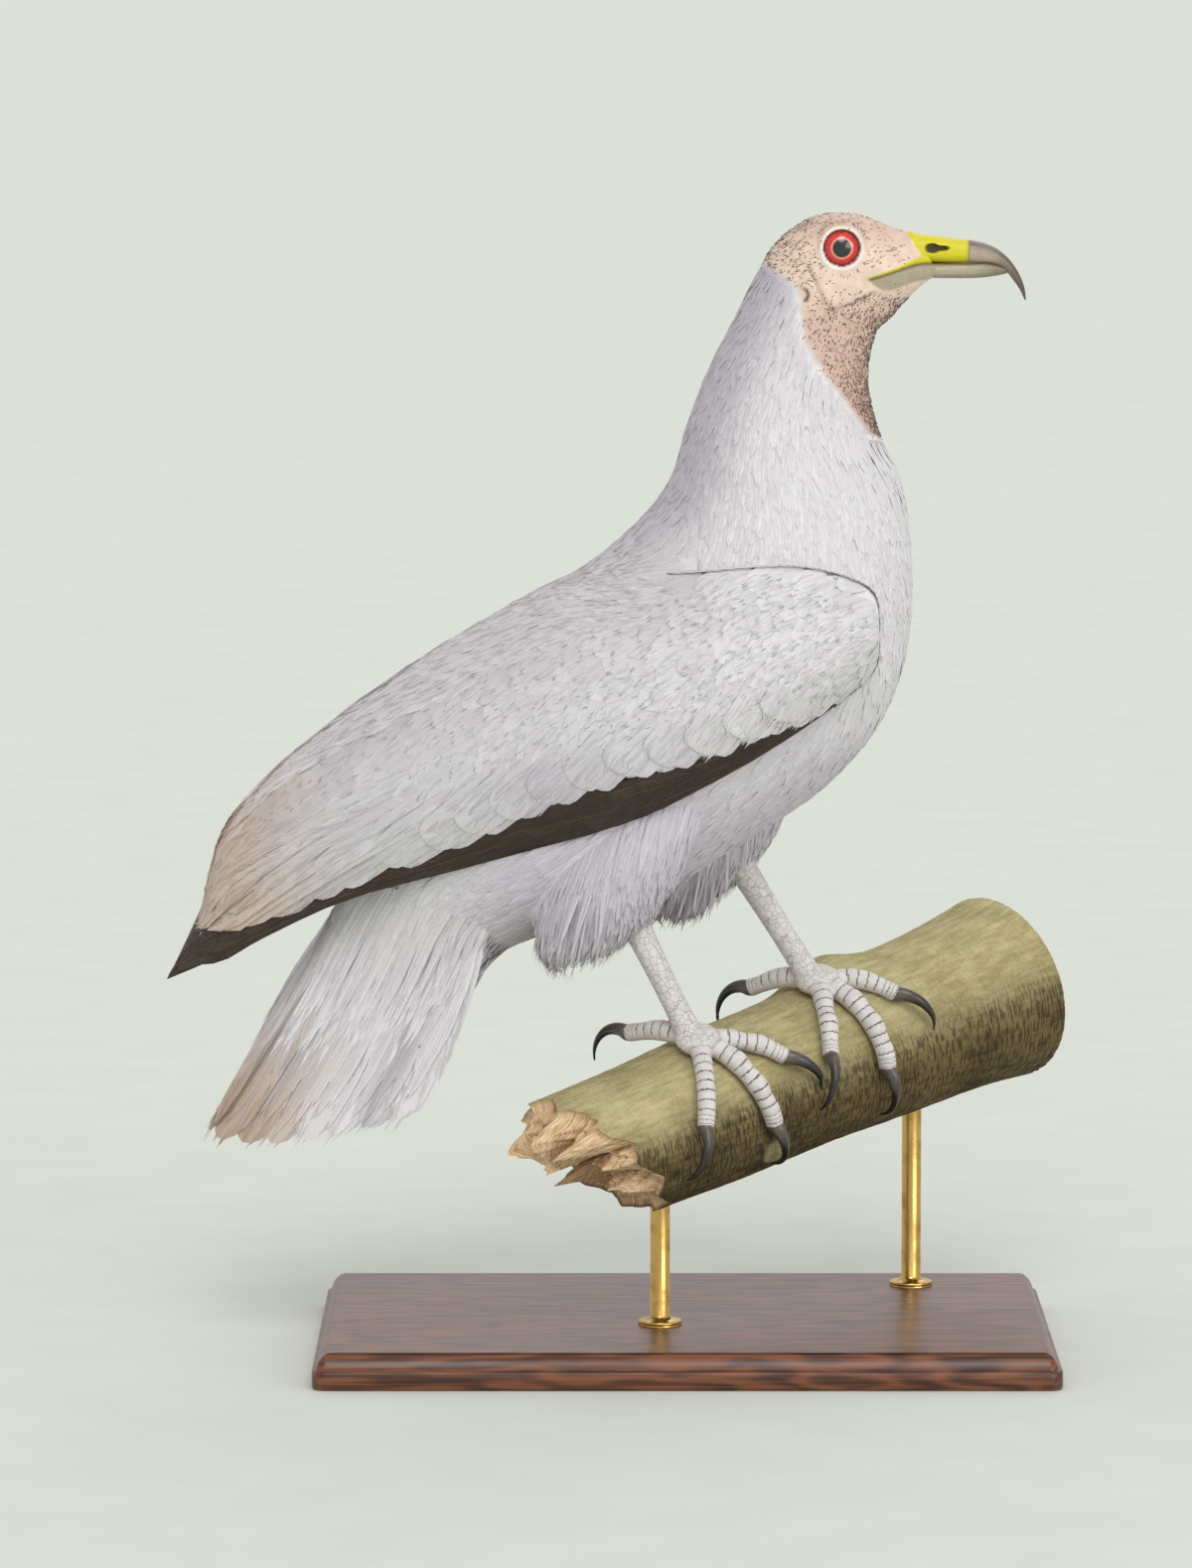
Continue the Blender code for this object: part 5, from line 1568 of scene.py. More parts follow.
def body_coat(name, first, last, extra=()):
    """Hackles over part of the body, shorter and flatter towards the bare face, and any extra sets."""
    u, turn = grid_sites(BODY, first, last, lambda v: body_size(v, 3), body_point)
    roots = body_point(u, turn)
    keep = (bare_depth(roots) < -1.5) & ~under_wing(roots) & (roots[:, 2] < 562.0)
    u, turn, roots = u[keep], turn[keep], roots[keep]
    count = len(u)
    courses = roots - body_point(np.minimum(u + 0.05, len(BODY) - 1.0), turn)
    edge = smooth_step(-bare_depth(roots), 0.0, 28.0)
    depth = smooth_step(-bare_depth(roots), 0.0, 22.0)
    length = body_size(u, 1) * (0.42 + 0.58 * edge) * RANDOM.uniform(0.85, 1.15, count)
    width = body_size(u, 2) * (0.6 + 0.4 * edge) * RANDOM.uniform(0.85, 1.15, count)
    look = lance_look(own_tint(roots, *COAT_TONES), body_uv(turn, u))
    _, ups, _ = BODY_SURFACE.nearest(roots)
    courses = turned(unit(courses), ups, RANDOM.normal(0.0, 5.0, count))
    loose = 3.0 * smooth_step(262.0 - roots[:, 2], 0.0, 16.0) * smooth_step(roots[:, 0], -60.0, -30.0)
    tips = RANDOM.uniform(-0.4, 0.25, count) + loose * RANDOM.uniform(0.0, 1.0, count)
    heights = (-ROOT_DEPTH * depth, tips)
    line, up = lay(BODY_SURFACE, roots, courses, length, LANCE[:, 0], heights, slack=6.0)
    feathers(name, [(line, up, width[:, None] * LANCE[:, 1], look), *extra], "white_feather")


# The feathers over the root of the tail, in layers: how many, half-widths, and height over the body.
TAIL_COVERTS = ((1000, (3.0, 4.4), -1.6), (1500, (1.4, 2.6), -0.8))
TAIL_COVERT_REACH = (14.0, 78.0)


def tail_covert_layer(number, widths, lift):
    """Long soft feathers that run from the rump down over the root of the tail, on both its faces."""
    u = RANDOM.uniform(0.1, 2.6, number)
    turn = RANDOM.uniform(0.0, 2 * math.pi, number)
    roots = body_point(u, turn)
    reach = RANDOM.uniform(*TAIL_COVERT_REACH, number)[:, None]
    aim = roots + TAIL_DOWN * reach
    end, tail_up, _ = TAIL_SURFACE.nearest(aim)
    inside = np.abs(np.sum(unit(aim - end) * tail_up, axis=1)) > 0.9
    hangs = roots[:, 2] < wing_edge(roots[:, 0], 3, 4) + 3.0
    keep = inside & hangs & ~under_wing(roots)
    u, turn, roots, reach, end, tail_up = (v[keep] for v in (u, turn, roots, reach, end, tail_up))
    _, body_up, _ = BODY_SURFACE.nearest(roots)
    face = np.sign(np.sum((roots - end) * tail_up, axis=1, keepdims=True))
    end = end + tail_up * face * (np.where(face * tail_up[:, 2:] > 0, 1.3, 3.0) + lift)
    leaving = unit(roots - body_point(u + 0.05, turn)) * reach
    share = LANCE_LONG[:, 0][None, :, None]
    line = (
        (2 * share**3 - 3 * share**2 + 1) * (roots + body_up * lift)[:, None]
        + (share**3 - 2 * share**2 + share) * leaving[:, None]
        + (3 * share**2 - 2 * share**3) * end[:, None]
        + (share**3 - share**2) * (TAIL_DOWN * reach)[:, None]
    )
    ups = unit(body_up[:, None] * (1.0 - share) + (tail_up * face)[:, None] * share)
    line = line + ups * (0.6 * np.sin(math.pi * share))
    look = lance_look(own_tint(roots, *COAT_TONES), body_uv(turn, u))
    return line, ups, RANDOM.uniform(*widths, (len(u), 1)) * LANCE_LONG[:, 1], look


def tail_coverts():
    """The feathers that carry the rump over onto the tail, broad ones below and fine ones above."""
    sets = [tail_covert_layer(*layer) for layer in TAIL_COVERTS]
    return sets + barbs(sets[1:], *BARBS["tail_covert"])


# The mantle's feathers: first and last section, and how far apart they and their rows stand.
MANTLE_FROM, MANTLE_TO, MANTLE_SPACING, MANTLE_ROW = 3.15, 9.0, 4.2, 5.0


def mantle_sites():
    """Staggered places over the mantle, as section numbers and shares across it."""
    us, vs, u, row = [], [], MANTLE_FROM, 0
    while u < MANTLE_TO:
        reach = float(np.interp(u, (3.0, 5.0, 7.0, 9.5), (0.86, 0.80, 0.62, 0.56)))
        v = np.linspace(-reach, reach, 65)
        arc = run_along(mantle_place(np.full(65, u), v))
        count = max(int(arc[-1] / MANTLE_SPACING), 3)
        places = (np.arange(count) + 0.5 * (row % 2) + 0.25) / count * arc[-1]
        vs.append(np.interp(places, arc, v))
        us.append(np.full(count, u))
        u += 0.1 * MANTLE_ROW / run_along(mantle_place(np.array((u, u + 0.1)), np.zeros(2)))[-1]
        row += 1
    return np.concatenate(us), np.concatenate(vs)


def make_mantle():
    """Soft feathers over the back that close the slot between the folded wings."""
    u, v = mantle_sites()
    count = len(u)
    roots = mantle_place(u, v)
    courses = mantle_place(u + 0.08, v) - roots
    _, ups, _ = MANTLE_SURFACE.nearest(roots)
    courses = turned(unit(courses), ups, RANDOM.normal(0.0, 4.0, count))
    length = np.interp(u, (3.0, 5.0, 9.5), (26.0, 30.0, 34.0)) * RANDOM.uniform(0.85, 1.15, count)
    half = np.interp(u, (3.0, 9.5), (3.3, 3.9)) * RANDOM.uniform(0.85, 1.15, count)
    heights = (np.full(count, -0.9), RANDOM.uniform(-0.1, 0.3, count))
    line, up = lay(MANTLE_SURFACE, roots, courses, length, LANCE[:, 0], heights, slack=6.0)
    look = lance_look(own_tint(roots, *COAT_TONES), wing_uv(0.5 + v / 2.2, u))
    sets = [(line, up, half[:, None] * LANCE[:, 1], look)]
    feathers("coat_back", sets + barbs(sets, *BARBS["mantle"]), "white_feather")


# ---- the wings' coat ---------------------------------------------------------------------------------
# Small and middle coverts along the wing: section number, length, half-width and spacing.
COVERT_SIZES = np.array((
    (0.0, 15.0, 5.0, 5.0), (1.0, 17.0, 5.6, 5.8), (3.0, 22.0, 7.0, 7.4), (5.0, 30.0, 8.4, 9.4),
    (7.0, 40.0, 9.6, 12.5), (11.0, 40.0, 9.0, 15.0),
))
COVERTS_TO = 7.4  # the section where the scale-like coverts end
# Where the lobes of the white coverts' lower edge end, counted along it: close in front, long behind.
LOBE_ENDS = np.concatenate((np.arange(10.0, 200.0, 20.5), (222.0, 256.0, 296.0)))
# Where the long rear feathers end: section number, and share of the way down to the black.
REAR_ENDS = (
    (10.00, 0.20), (10.10, 0.58), (9.94, 0.40), (9.92, 0.82), (9.70, 0.58), (9.46, 0.86), (9.20, 0.66),
    (8.94, 0.88), (8.64, 0.72), (8.30, 0.90), (7.90, 0.76),
)
# Rows of the great coverts: how far they are set back, half-width and lift.
GREAT_ROWS = ((0.0, 10.4, 0.5), (11.0, 10.6, 0.7))
# Feathers along the wing's edge: length, half-width, lift, thickness and range of tones.
SHOULDER_FEATHERS = (13.0, 2.4, 0.5, 0.3, (0.97, 1.02))
# The dark hairs along the wing's edge are painted shade: they stand in for the shade line there.
EDGE_SHADE_HAIRS = (2.2, 0.24, 0.8, 0.15, (0.42, 0.62))
# The wing's upper and lower edge at the shoulder: the edge, the feathers' span, the dark hairs' span.
SHOULDER_EDGES = ((0.0, (-0.4, 4.3), (0.1, 3.3)), (1.0, (0.0, 2.6), (0.1, 2.9)))
# Painted shade: how much darker the wings are than the body, most towards the rear, by the place along the
# wing.
COVERT_SHADE = (-200.0, -80.0, 20.0, 50.0), (0.84, 0.87, 0.92, 0.97)


def covert_size(u, column):
    return np.interp(u, COVERT_SIZES[:, 0], COVERT_SIZES[:, column])


def outward_side(along, down):
    """The right wing's outward direction from two directions in its surface."""
    ups = np.cross(along, down)
    return ups * np.sign(-ups[:, 1:2])


def rear_feathers():
    """Long feathers that follow the wing to its rear and lie inside its edges, the upper ones on top."""
    sets = []
    for k, (end, low) in enumerate(REAR_ENDS):
        u = end - 3.6 * (1.0 - BLUNT[:, 0])
        t = covert_share(u) * (low * 0.75 + (low - low * 0.75) * BLUNT[:, 0] ** 2)
        place, along, down = wing_frame(u, t)
        ups = outward_side(along, down)
        line = place + ups * (-1.0 + (1.5 - 0.1 * k) * BLUNT[:, :1] ** 0.8)
        room = np.minimum(t, covert_share(u) - t) * wing_arc(u)
        half = np.minimum(12.0 * BLUNT[:, 1], (room + 2.2) * BLUNT[:, 1] ** 0.5)
        tint = plumage_tint(line) * RANDOM.uniform(0.97, 1.025)
        look = vane_look(tint[None], wing_uv(0.02 + 0.95 * t[:1], u[:1]))
        sets.append((line[None], ups[None], half[None], look))
    return sets


def great_coverts():
    """Broad feathers whose tips make the lobed edge over the black strip."""
    sets = []
    for row, (back, half, lift) in enumerate(GREAT_ROWS):
        ends = np.interp(LOBE_ENDS + back * 0.7, EDGE_RUN, EDGE_PLACES)
        ends = ends[(ends > 2.15) & (ends < (8.0 if row else 11.0))]
        count = len(ends)
        turn = np.radians(np.interp(ends, (2.0, 4.0, 7.0, 8.5, 11.0), (40.0, 34.0, 16.0, 7.0, 4.0)))[:, None]
        length = np.interp(ends, (2.0, 5.0, 8.0, 10.0), (25.0, 58.0, 70.0, 100.0))
        inset = (half * np.cos(turn[:, 0]) * 0.62 + 0.35 * back) / wing_arc(ends)
        tip, along, down = wing_frame(ends, np.clip(covert_share(ends) - inset, 0.0, 1.0))
        courses = along * np.cos(turn) + down * np.sin(turn)
        heights = (np.full(count, lift), np.full(count, -1.0))
        line, ups = lay(WING_OUTSIDE, tip, -courses, length, BLUNT_BACK, heights, slack=9.0)
        line, ups = line[:, ::-1], ups[:, ::-1]
        uv = wing_uv(covert_share(ends) * 0.95 - 0.01 * row, ends)
        look = vane_look(own_tint(line, 0.97, 1.02), uv, camber=0.04, ragged=0.03)
        sets.append((line, ups, half * np.ones((count, 1)) * BLUNT[:, 1], look))
    return sets


def scale_sites():
    """Staggered places over the white wing, from the wrist backwards."""
    u, row, places = 0.12, 0, []
    while u < COVERTS_TO:
        gap = float(covert_size(u, 3))
        edge, _, _ = wing_frame(np.full(33, u), np.linspace(0.0, 1.0, 33))
        reach = float(covert_share(u)) - np.interp(u, (0.0, 2.0, 5.0, 8.0), (0.0, 0.10, 0.16, 0.14))
        count = max(int(run_along(edge)[-1] * reach / gap), 3)
        t = (np.arange(count) + 0.5 * (row % 2) + 0.2) / count * reach
        places += [(u, value) for value in t if value < reach]
        ahead, _, _ = wing_frame(np.array([u, min(u + 0.1, 11.0)]), np.array([0.5, 0.5]))
        u += 0.1 * gap * 0.86 / max(np.linalg.norm(ahead[1] - ahead[0]), 0.5)
        row += 1
    u, t = np.array(places).T
    u = np.clip(u + RANDOM.normal(0.0, 0.02, len(u)), 0.0, 11.0)
    return u, np.clip(t + RANDOM.normal(0.0, 0.004, len(t)), 0.0, 1.0)


def scale_rows():
    """Small and middle coverts like scales, turned down along the edge round the wrist."""
    u, t = scale_sites()
    angle = np.interp(u, (0.0, 2.0, 5.0, 8.0), (14.0, 22.0, 16.0, 5.0)) + 14.0 * t
    rim = np.interp(u, (0.3, 1.8), (1.0, 0.0)) * np.interp(t, (0.1, 0.45), (1.0, 0.0))
    angle = angle + RANDOM.normal(0.0, 3.0, len(u)) + 42.0 * rim
    length = covert_size(u, 1) * RANDOM.uniform(0.94, 1.06, len(u))
    half = covert_size(u, 2) * (1.0 - 0.4 * rim)
    heights = (-0.7, RANDOM.uniform(0.0, 0.18, len(u)))
    place, along, down = wing_frame(u, t)
    turn = np.radians(angle)[:, None]
    courses = along * np.cos(turn) + down * np.sin(turn)
    line, ups = lay(WING_OUTSIDE, place, courses, length, CONTOUR[:, 0], heights, slack=4.0)
    look = vane_look(own_tint(line, 0.97, 1.025), wing_uv(0.02 + 0.95 * t, u), 0.16)
    return line, ups, half[:, None] * CONTOUR[:, 1], look


def shoulder_chart(s, edge):
    """The wing's section numbers and shares round the wrist (s from 0 to 1) and along one edge (beyond).

    The edge is 0 for the upper and 1 for the lower one.
    """
    return np.maximum(s - 1.0, 0.0), 0.5 + (edge - 0.5) * np.minimum(s, 1.0)


def shoulder_place(s, q, edge):
    """A place between wing and body, at a share q of the room from the wing's edge to the body."""
    place = wing_frame(*shoulder_chart(s, edge))[0]
    place[:, 1] += q * wing_room(*shoulder_chart(s, edge))
    return place


def edge_run(span, edge):
    """Places along the wing's edge, and their distances along it."""
    fine = np.linspace(*span, 240)
    return fine, run_along(shoulder_place(fine, 0.0, edge))


def edge_set(starts, shares, edge, span, length, half, lift, thick, tone):
    """Feathers that run along the wing's edge, away from the wrist."""
    fine, run = edge_run(span, edge)
    rows = LANCE[:, 0]
    line = np.array([
        shoulder_place(np.interp(start + length * rows, run, fine), share, edge)
        for start, share in zip(starts, shares)
    ])
    ups = unit(np.cross(np.gradient(line, axis=1), (0.0, 1.0, 0.0)))
    ups = ups * np.sign(np.sum(ups * (0.7, 0.0, 1.0 - 2.0 * edge), axis=(1, 2), keepdims=True))
    line = line + ups * (lift - 0.6 + 0.6 * rows)[:, None] - (0.0, 0.3, 0.0)
    uv = np.stack((np.full(len(line), 0.05 + 0.9 * edge), 0.02 + 0.02 * np.asarray(shares)), axis=-1)
    look = lance_look(own_tint(line, *tone), uv, thick, ragged=0.05)
    return line, ups, np.full((len(line), 1), half) * LANCE[:, 1], look


def shoulder_sets():
    """Short feathers between the wrist and the breast, and fine dark ones along the wing's edge as painted
    shade.
    """
    sets = []
    for edge, span, _ in SHOULDER_EDGES:
        fine, run = edge_run(span, edge)
        starts, shares = [], []
        for row, start in enumerate(np.arange(0.5, run[-1] - 14.0, 3.4)):
            s = np.interp([start], run, fine)
            count = max(int(wing_room(*shoulder_chart(s, edge))[0] / 2.8), 2)
            shares += list((np.arange(count) + 0.8 + 0.4 * (row % 2)) / (count + 0.4))
            starts += [start] * count
        sets.append(edge_set(starts, shares, edge, span, *SHOULDER_FEATHERS))
    for edge, _, span in SHOULDER_EDGES:
        starts = np.arange(1.0, edge_run(span, edge)[1][-1] - 4.0, 3.3)
        starts = starts + RANDOM.uniform(-0.4, 0.4, len(starts))
        sets.append(edge_set(starts, 0.0 * starts, edge, span, *EDGE_SHADE_HAIRS))
    return sets


def covert_sets():
    """The white wing, from the lowest layer up, with fine barbs over every feather."""
    rear, great, scales = rear_feathers(), great_coverts(), [scale_rows()]
    for line, _, _, look in rear + great + scales:
        # Painted shade: the wing's feathers darker than the body's, most towards the rear.
        look["tint"] = look["tint"] * np.interp(line[:, 0, 0], *COVERT_SHADE)[:, None, None]
    sets = rear + great + scales + shoulder_sets()
    sets += barbs(rear, *BARBS["rear"])
    sets += barbs(great, *BARBS["great"])
    sets += barbs(scales, *BARBS["scale"])
    # Darker barbs just past the scale coverts' tips: painted shade under their edges.
    return sets + barbs(scales, *BARBS["scale_tip"], tone=(0.62, 0.85))


def flight_sets():
    """The black strip: long flight feathers stacked below the coverts, ending in the wing's point."""
    sets = []
    for k, end in enumerate(np.linspace(4.2, 11.0, 22)):
        lane = (k % 3) / 3.0
        start = max(end - 3.4, 1.9)
        profile = QUILL if end < 10.2 else POINTED
        u = start + (end - start) * profile[:, 0]
        black = 1.0 - covert_share(u)
        t = covert_share(u) + black * (0.30 + 0.68 * lane)
        place, along, down = wing_frame(u, np.clip(t, 0.0, 1.0))
        strip = black * np.interp(u, (2.0, 5.0, 9.0, 11.0), (85.0, 110.0, 60.0, 14.0))
        half = np.clip(0.5 * strip, 2.6, 9.0) * profile[:, 1]
        ups = outward_side(along, down)
        line = place - ups * (0.35 + 0.3 * lane)
        tint = mix(SOOT, SOOT_BROWN, RANDOM.uniform(0.25, 0.5)) * np.ones((1, 3))
        uv = wing_uv(np.array([0.1 + 0.8 * lane]), np.array([start]))
        sets.append((line[None], ups[None], half[None], vane_look(tint, uv, 0.5, 0.05, 0.02)))
    fine = barbs(sets, *BARBS["flight"], lift=0.03, slant=0.04, tone=(0.75, 2.4), inside=True)
    return sets + fine


# ---- tail and thighs ---------------------------------------------------------------------------------
# Soft feathers over and under the fan: its face, their level and how many.
TAIL_LOCKS = ((1.0, -0.1, 760), (-1.0, 1.8, 380))


def tail_set(across, share, level, half, profile, thick, place, face=1.0, groove=0.8):
    """One feather or lock of the fan, as a set of its own."""
    line = tail_point(across, share, level)
    beside = tail_point(across + 0.02, share, level)
    ups = unit(np.cross(np.gradient(line, axis=0), beside - line))
    ups = ups * np.sign(ups[:, 2:3] + 1e-6) * face
    half = np.minimum(half, 0.15 * np.linalg.norm(beside - line, axis=1) / 0.02)
    tint = tail_tint(across, share, groove) * RANDOM.uniform(0.97, 1.02)
    look = vane_look(tint[None], np.array([place]), thick, ragged=0.03)
    return line[None], ups[None], half[None] * profile[:, 1], look


def tail_vane(k):
    """One of the tail's broad feathers, counted from the right."""
    across = (k + 0.5) / TAIL_FEATHERS * 2.0 - 1.0
    half = fan_width(BLUNT[:, 0]) * math.cos(TAIL_ROOF) / TAIL_FEATHERS * 2.3
    share = BLUNT[:, 0] * RANDOM.uniform(0.985, 1.0)
    level = 0.6 + 0.08 * abs(k - (TAIL_FEATHERS - 1) / 2)
    place = (0.05 + 0.9 * k / TAIL_FEATHERS, 0.05)
    # The broad feathers carry less painted shade in the grooves than the locks over them.
    return tail_set(across, share, level, half, BLUNT, 0.25, place, groove=0.3)


def tail_lock(base, level, face):
    """One long soft feather over (face 1) or under (face -1) the fan, from a share of its length."""
    across = RANDOM.uniform(-1.0, 1.0)
    share = base + LANCE_LONG[:, 0] * RANDOM.uniform(0.20, 0.28)
    level = level * RANDOM.uniform(0.6, 1.4)
    half = np.full(len(LANCE_LONG), RANDOM.uniform(1.5, 2.6))
    place = (0.05 + 0.9 * (0.5 + across / 2), 0.15 + 0.3 * base + 0.4 * (face < 0))
    return tail_set(across, share, level, half, LANCE_LONG, 0.2, place, face)


def make_tail():
    """Rectrices that overlap from the middle outwards, under long soft coverts and fine barbs."""
    vanes = [tail_vane(k) for k in range(TAIL_FEATHERS)]
    locks = []
    for face, level, count in TAIL_LOCKS:
        locks += [tail_lock(0.02 + 0.70 * k / count, level, face) for k in range(count)]
    sets = vanes + locks
    sets += barbs(vanes, *BARBS["tail_top"])
    under = [(line, -ups, half, look) for line, ups, half, look in vanes]
    sets += barbs(under, *BARBS["tail_under"])
    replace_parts(feathers("tail_feathers", sets, "white_feather"), "tail")


# Layers of the shaggy thighs: first section, spacing, length, half-width, lift at the tip, and hang.
THIGH_LAYERS = (
    (0.0, 5.0, 26.0, 2.4, 0.1, 0.2),
    (0.2, 4.4, 32.0, 1.2, 1.0, 0.5),
    (1.0, 3.3, 38.0, 0.95, 2.2, 1.0),
    (2.2, 3.1, 30.0, 0.90, 3.0, 1.0),
)
# How far the locks lean back at the thigh's front and rear, and how many tufts they gather into.
THIGH_LEAN = (0.0, 0.62)
THIGH_TUFTS = 26
# Where the tufts end: x, and the height of their tips there; they are short round the leg.
FRINGE = {
    "right": (
        (-88.0, -72.0, -42.0, -36.0, -28.0, -20.0, -10.0),
        (208.0, 195.0, 195.0, 218.0, 226.0, 216.0, 230.0),
    ),
    "left": (
        (-24.0, -9.0, 0.0, 12.0, 20.0, 28.0, 40.0),
        (232.0, 213.0, 198.0, 201.0, 206.0, 230.0, 242.0),
    ),
}


def thigh_point(side, u, turn):
    """A point of the thigh's surface."""
    rows = thigh_rows(side)
    place = section_point(np.delete(rows, 4, axis=1), u, turn)
    place[:, 1] += SIDES[side] * np.interp(u, range(len(rows)), rows[:, 4])
    return place


def tuft_fall(side, roots, lean, beside, ragged, hang):
    """How far the locks fall to the fringe, shorter at the sides of each tuft."""
    x_end = roots[:, 0] - lean * (roots[:, 2] - 208.0)
    fall = roots[:, 2] - np.interp(x_end, *FRINGE[side]) - ragged
    return fall * RANDOM.uniform(0.80, 1.0, len(roots)) * (1.0 - 0.28 * beside * hang)


def thigh_layer(side, surface, ragged, first, spacing, length, half, lift, hang):
    """One layer of a thigh's feathers, from soft vanes (little hang) to hanging locks (hang 1)."""
    rows = thigh_rows(side)
    front, rear = rows[-1, 0] + 12.0, rows[-1, 2] - 12.0
    u, turn = grid_sites(rows, first, 3.75, lambda v: spacing, lambda v, w: thigh_point(side, v, w))
    roots = thigh_point(side, u, turn)
    keep = ~under_wing(roots)
    u, turn, roots = u[keep], turn[keep], roots[keep]
    count = len(u)
    lean = np.interp(roots[:, 0], (rear, front), THIGH_LEAN[::-1])
    down = unit(np.stack((-lean, np.zeros(count), -np.ones(count)), axis=-1))
    flow = unit(thigh_point(side, np.minimum(u + 0.05, 3.99), turn) - roots)
    place = turn / (2 * math.pi) * THIGH_TUFTS
    tuft = np.floor(place).astype(int)
    beside = np.abs(place - tuft - 0.5) * 2.0
    fall = tuft_fall(side, roots, lean, beside, ragged[tuft], hang)
    size = np.clip(fall, 9.0, length * RANDOM.uniform(0.85, 1.15, count))
    gather = thigh_point(side, u, (tuft + 0.5) / THIGH_TUFTS * 2 * math.pi) - roots
    _, ups, _ = surface.nearest(roots)
    courses = unit(mix(flow, down, hang)) * size[:, None] + gather * 0.85 * hang
    courses = turned(unit(courses), ups, RANDOM.normal(0.0, 3.0, count))
    heights = (np.full(count, -COAT_DEPTH + 1.2), lift * RANDOM.uniform(0.0, 1.0, count))
    slack = 3.0 if hang < 1.0 else 0.9
    line, up = lay(surface, roots, courses, size, LANCE_LONG[:, 0], heights, 0.1 + 0.4 * hang, slack)
    uv = np.stack((turn / (2 * math.pi), 0.05 + 0.9 * u / 4.0), axis=-1) * 0.99
    look = lance_look(own_tint(roots, 0.94, 1.04), uv, 0.35, 0.08)
    return line, up, half * RANDOM.uniform(0.8, 1.2, (count, 1)) * LANCE_LONG[:, 1], look


def thigh_sets(side):
    """Shaggy thigh feathers: soft vanes under long hair-like locks that gather into hanging tufts."""
    surface = ring_surface(thigh_rings(side, 60, 48))
    ragged = RANDOM.uniform(0.0, 1.0, THIGH_TUFTS + 1) ** 2 * 9.0
    sets = [thigh_layer(side, surface, ragged, *layer) for layer in THIGH_LAYERS]
    # Darker barbs at the ends of the hanging locks: painted shade between the strands.
    return sets + barbs(sets[3:], *BARBS["thigh_tip"], lift=0.25, tone=(0.45, 0.80))


# ---- eyes, bill, claws, branch and stand -------------------------------------------------------------
def ring_object(name, rings, material, replaced, tint=None, floats=None, drawn=True):
    """A closed piece through rings, whose end rings are flat or drawn together into a point."""
    rings = np.asarray(rings)
    if drawn:
        ends = [r.mean(axis=0) * 0.999 + r * 0.001 for r in (rings[0], rings[-1])]
        rings = np.concatenate((ends[:1], rings, ends[1:]))
    points = rings.reshape(-1, 3)
    quads = ring_quads(*rings.shape[:2])
    corner = points[quads]
    flat = np.cross(corner[:, 2] - corner[:, 0], corner[:, 3] - corner[:, 1])
    if np.sum(flat * (corner.mean(axis=1) - points.mean(axis=0))) < 0:
        quads = quads[:, ::-1]
    piece = quad_mesh(name, points, quads, None if tint is None else tint(points), floats)
    work = bmesh.new()
    work.from_mesh(piece.data)
    work.verts.ensure_lookup_table()
    sides = rings.shape[1]
    for first in (0, len(points) - sides):
        bmesh.ops.contextual_create(work, geom=[work.verts[first + k] for k in range(sides)])
    bmesh.ops.recalc_face_normals(work, faces=work.faces)
    work.to_mesh(piece.data)
    work.free()
    piece.data.shade_smooth()
    piece.data.set_sharp_from_angle(angle=math.radians(50.0))
    piece.data.materials.append(MATERIALS[material])
    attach(piece, "root")
    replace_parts(piece, *replaced)


def make_eyes():
    for side, sign in SIDES.items():
        rings = ball_rings(EYE_CENTRE * (1.0, sign, 1.0), (EYE_RADIUS, EYE_BULGE, EYE_RADIUS), 48, 72)
        ring_object(f"glass_eye_{side}", rings, "eye", [f"eye_{side}"])


NOSTRIL = (125.3, 557.0, 6.0, 2.5)


def nostril_mask(points):
    """1 inside the nostril, which is round behind and runs to a slit in front."""
    x, z, long, high = NOSTRIL
    ahead = (points[:, 0] - x) / long
    tall = high * (1.0 - 0.48 * smooth_step(ahead, -0.35, 0.25))
    away = np.cbrt(np.abs(ahead) ** 3 + np.abs((points[:, 2] - z) / tall) ** 3)
    return smooth_step(1.0 - away, -0.12, 0.25) * smooth_step(np.abs(points[:, 1]), 2.5, 4.0)


def cut_shade(points):
    """How much painted shade darkens the line where upper and lower bill meet."""
    return 0.8 * bump_at(line_distance(points, MOUTH_FRONT), 0.0, 0.55)


def cere_tint(points):
    skin = smooth_step(np.interp(points[:, 2], FACE_Z, FACE_X) - points[:, 0], -0.5, 0.5)
    tint = mix(np.broadcast_to(CERE_YELLOW, points.shape), CHEEK, skin)
    # Painted shade inside the nostril's hollow.
    tint = mix(tint, linear(58, 44, 20), nostril_mask(points))
    tint = mix(tint, linear(146, 128, 40), 0.5 * smooth_step(points[:, 0], 139.0, 141.2))
    return mix(tint, CREASE_SHADE, cut_shade(points))


def upper_tint(points):
    x, z = points[:, 0], points[:, 2]
    tip = smooth_step(x, 150.0, 169.0)
    top = np.interp(x, UPPER_BILL[:, 0], UPPER_BILL[:, 1])
    ridge = smooth_step(z - top, -6.5, -0.5)
    tint = mix(np.broadcast_to(linear(172, 157, 138), points.shape), linear(88, 78, 70), 0.75 * ridge)
    tint = mix(tint, linear(62, 54, 46), 0.8 * tip)
    return mix(tint, CREASE_SHADE, cut_shade(points) * smooth_step(157.0 - x, 0.0, 4.0))


def lower_tint(points):
    x, z = points[:, 0], points[:, 2]
    tint = np.broadcast_to(JAW_GREY, points.shape)
    tint = mix(tint, linear(112, 101, 82), 0.8 * smooth_step(x, 138.0, 160.0))
    # Painted shade along the lower bill's underside.
    tint = mix(tint, linear(120, 110, 90), 0.6 * smooth_step(544.6 - z, 0.0, 3.0))
    return mix(tint, CREASE_SHADE, cut_shade(points))


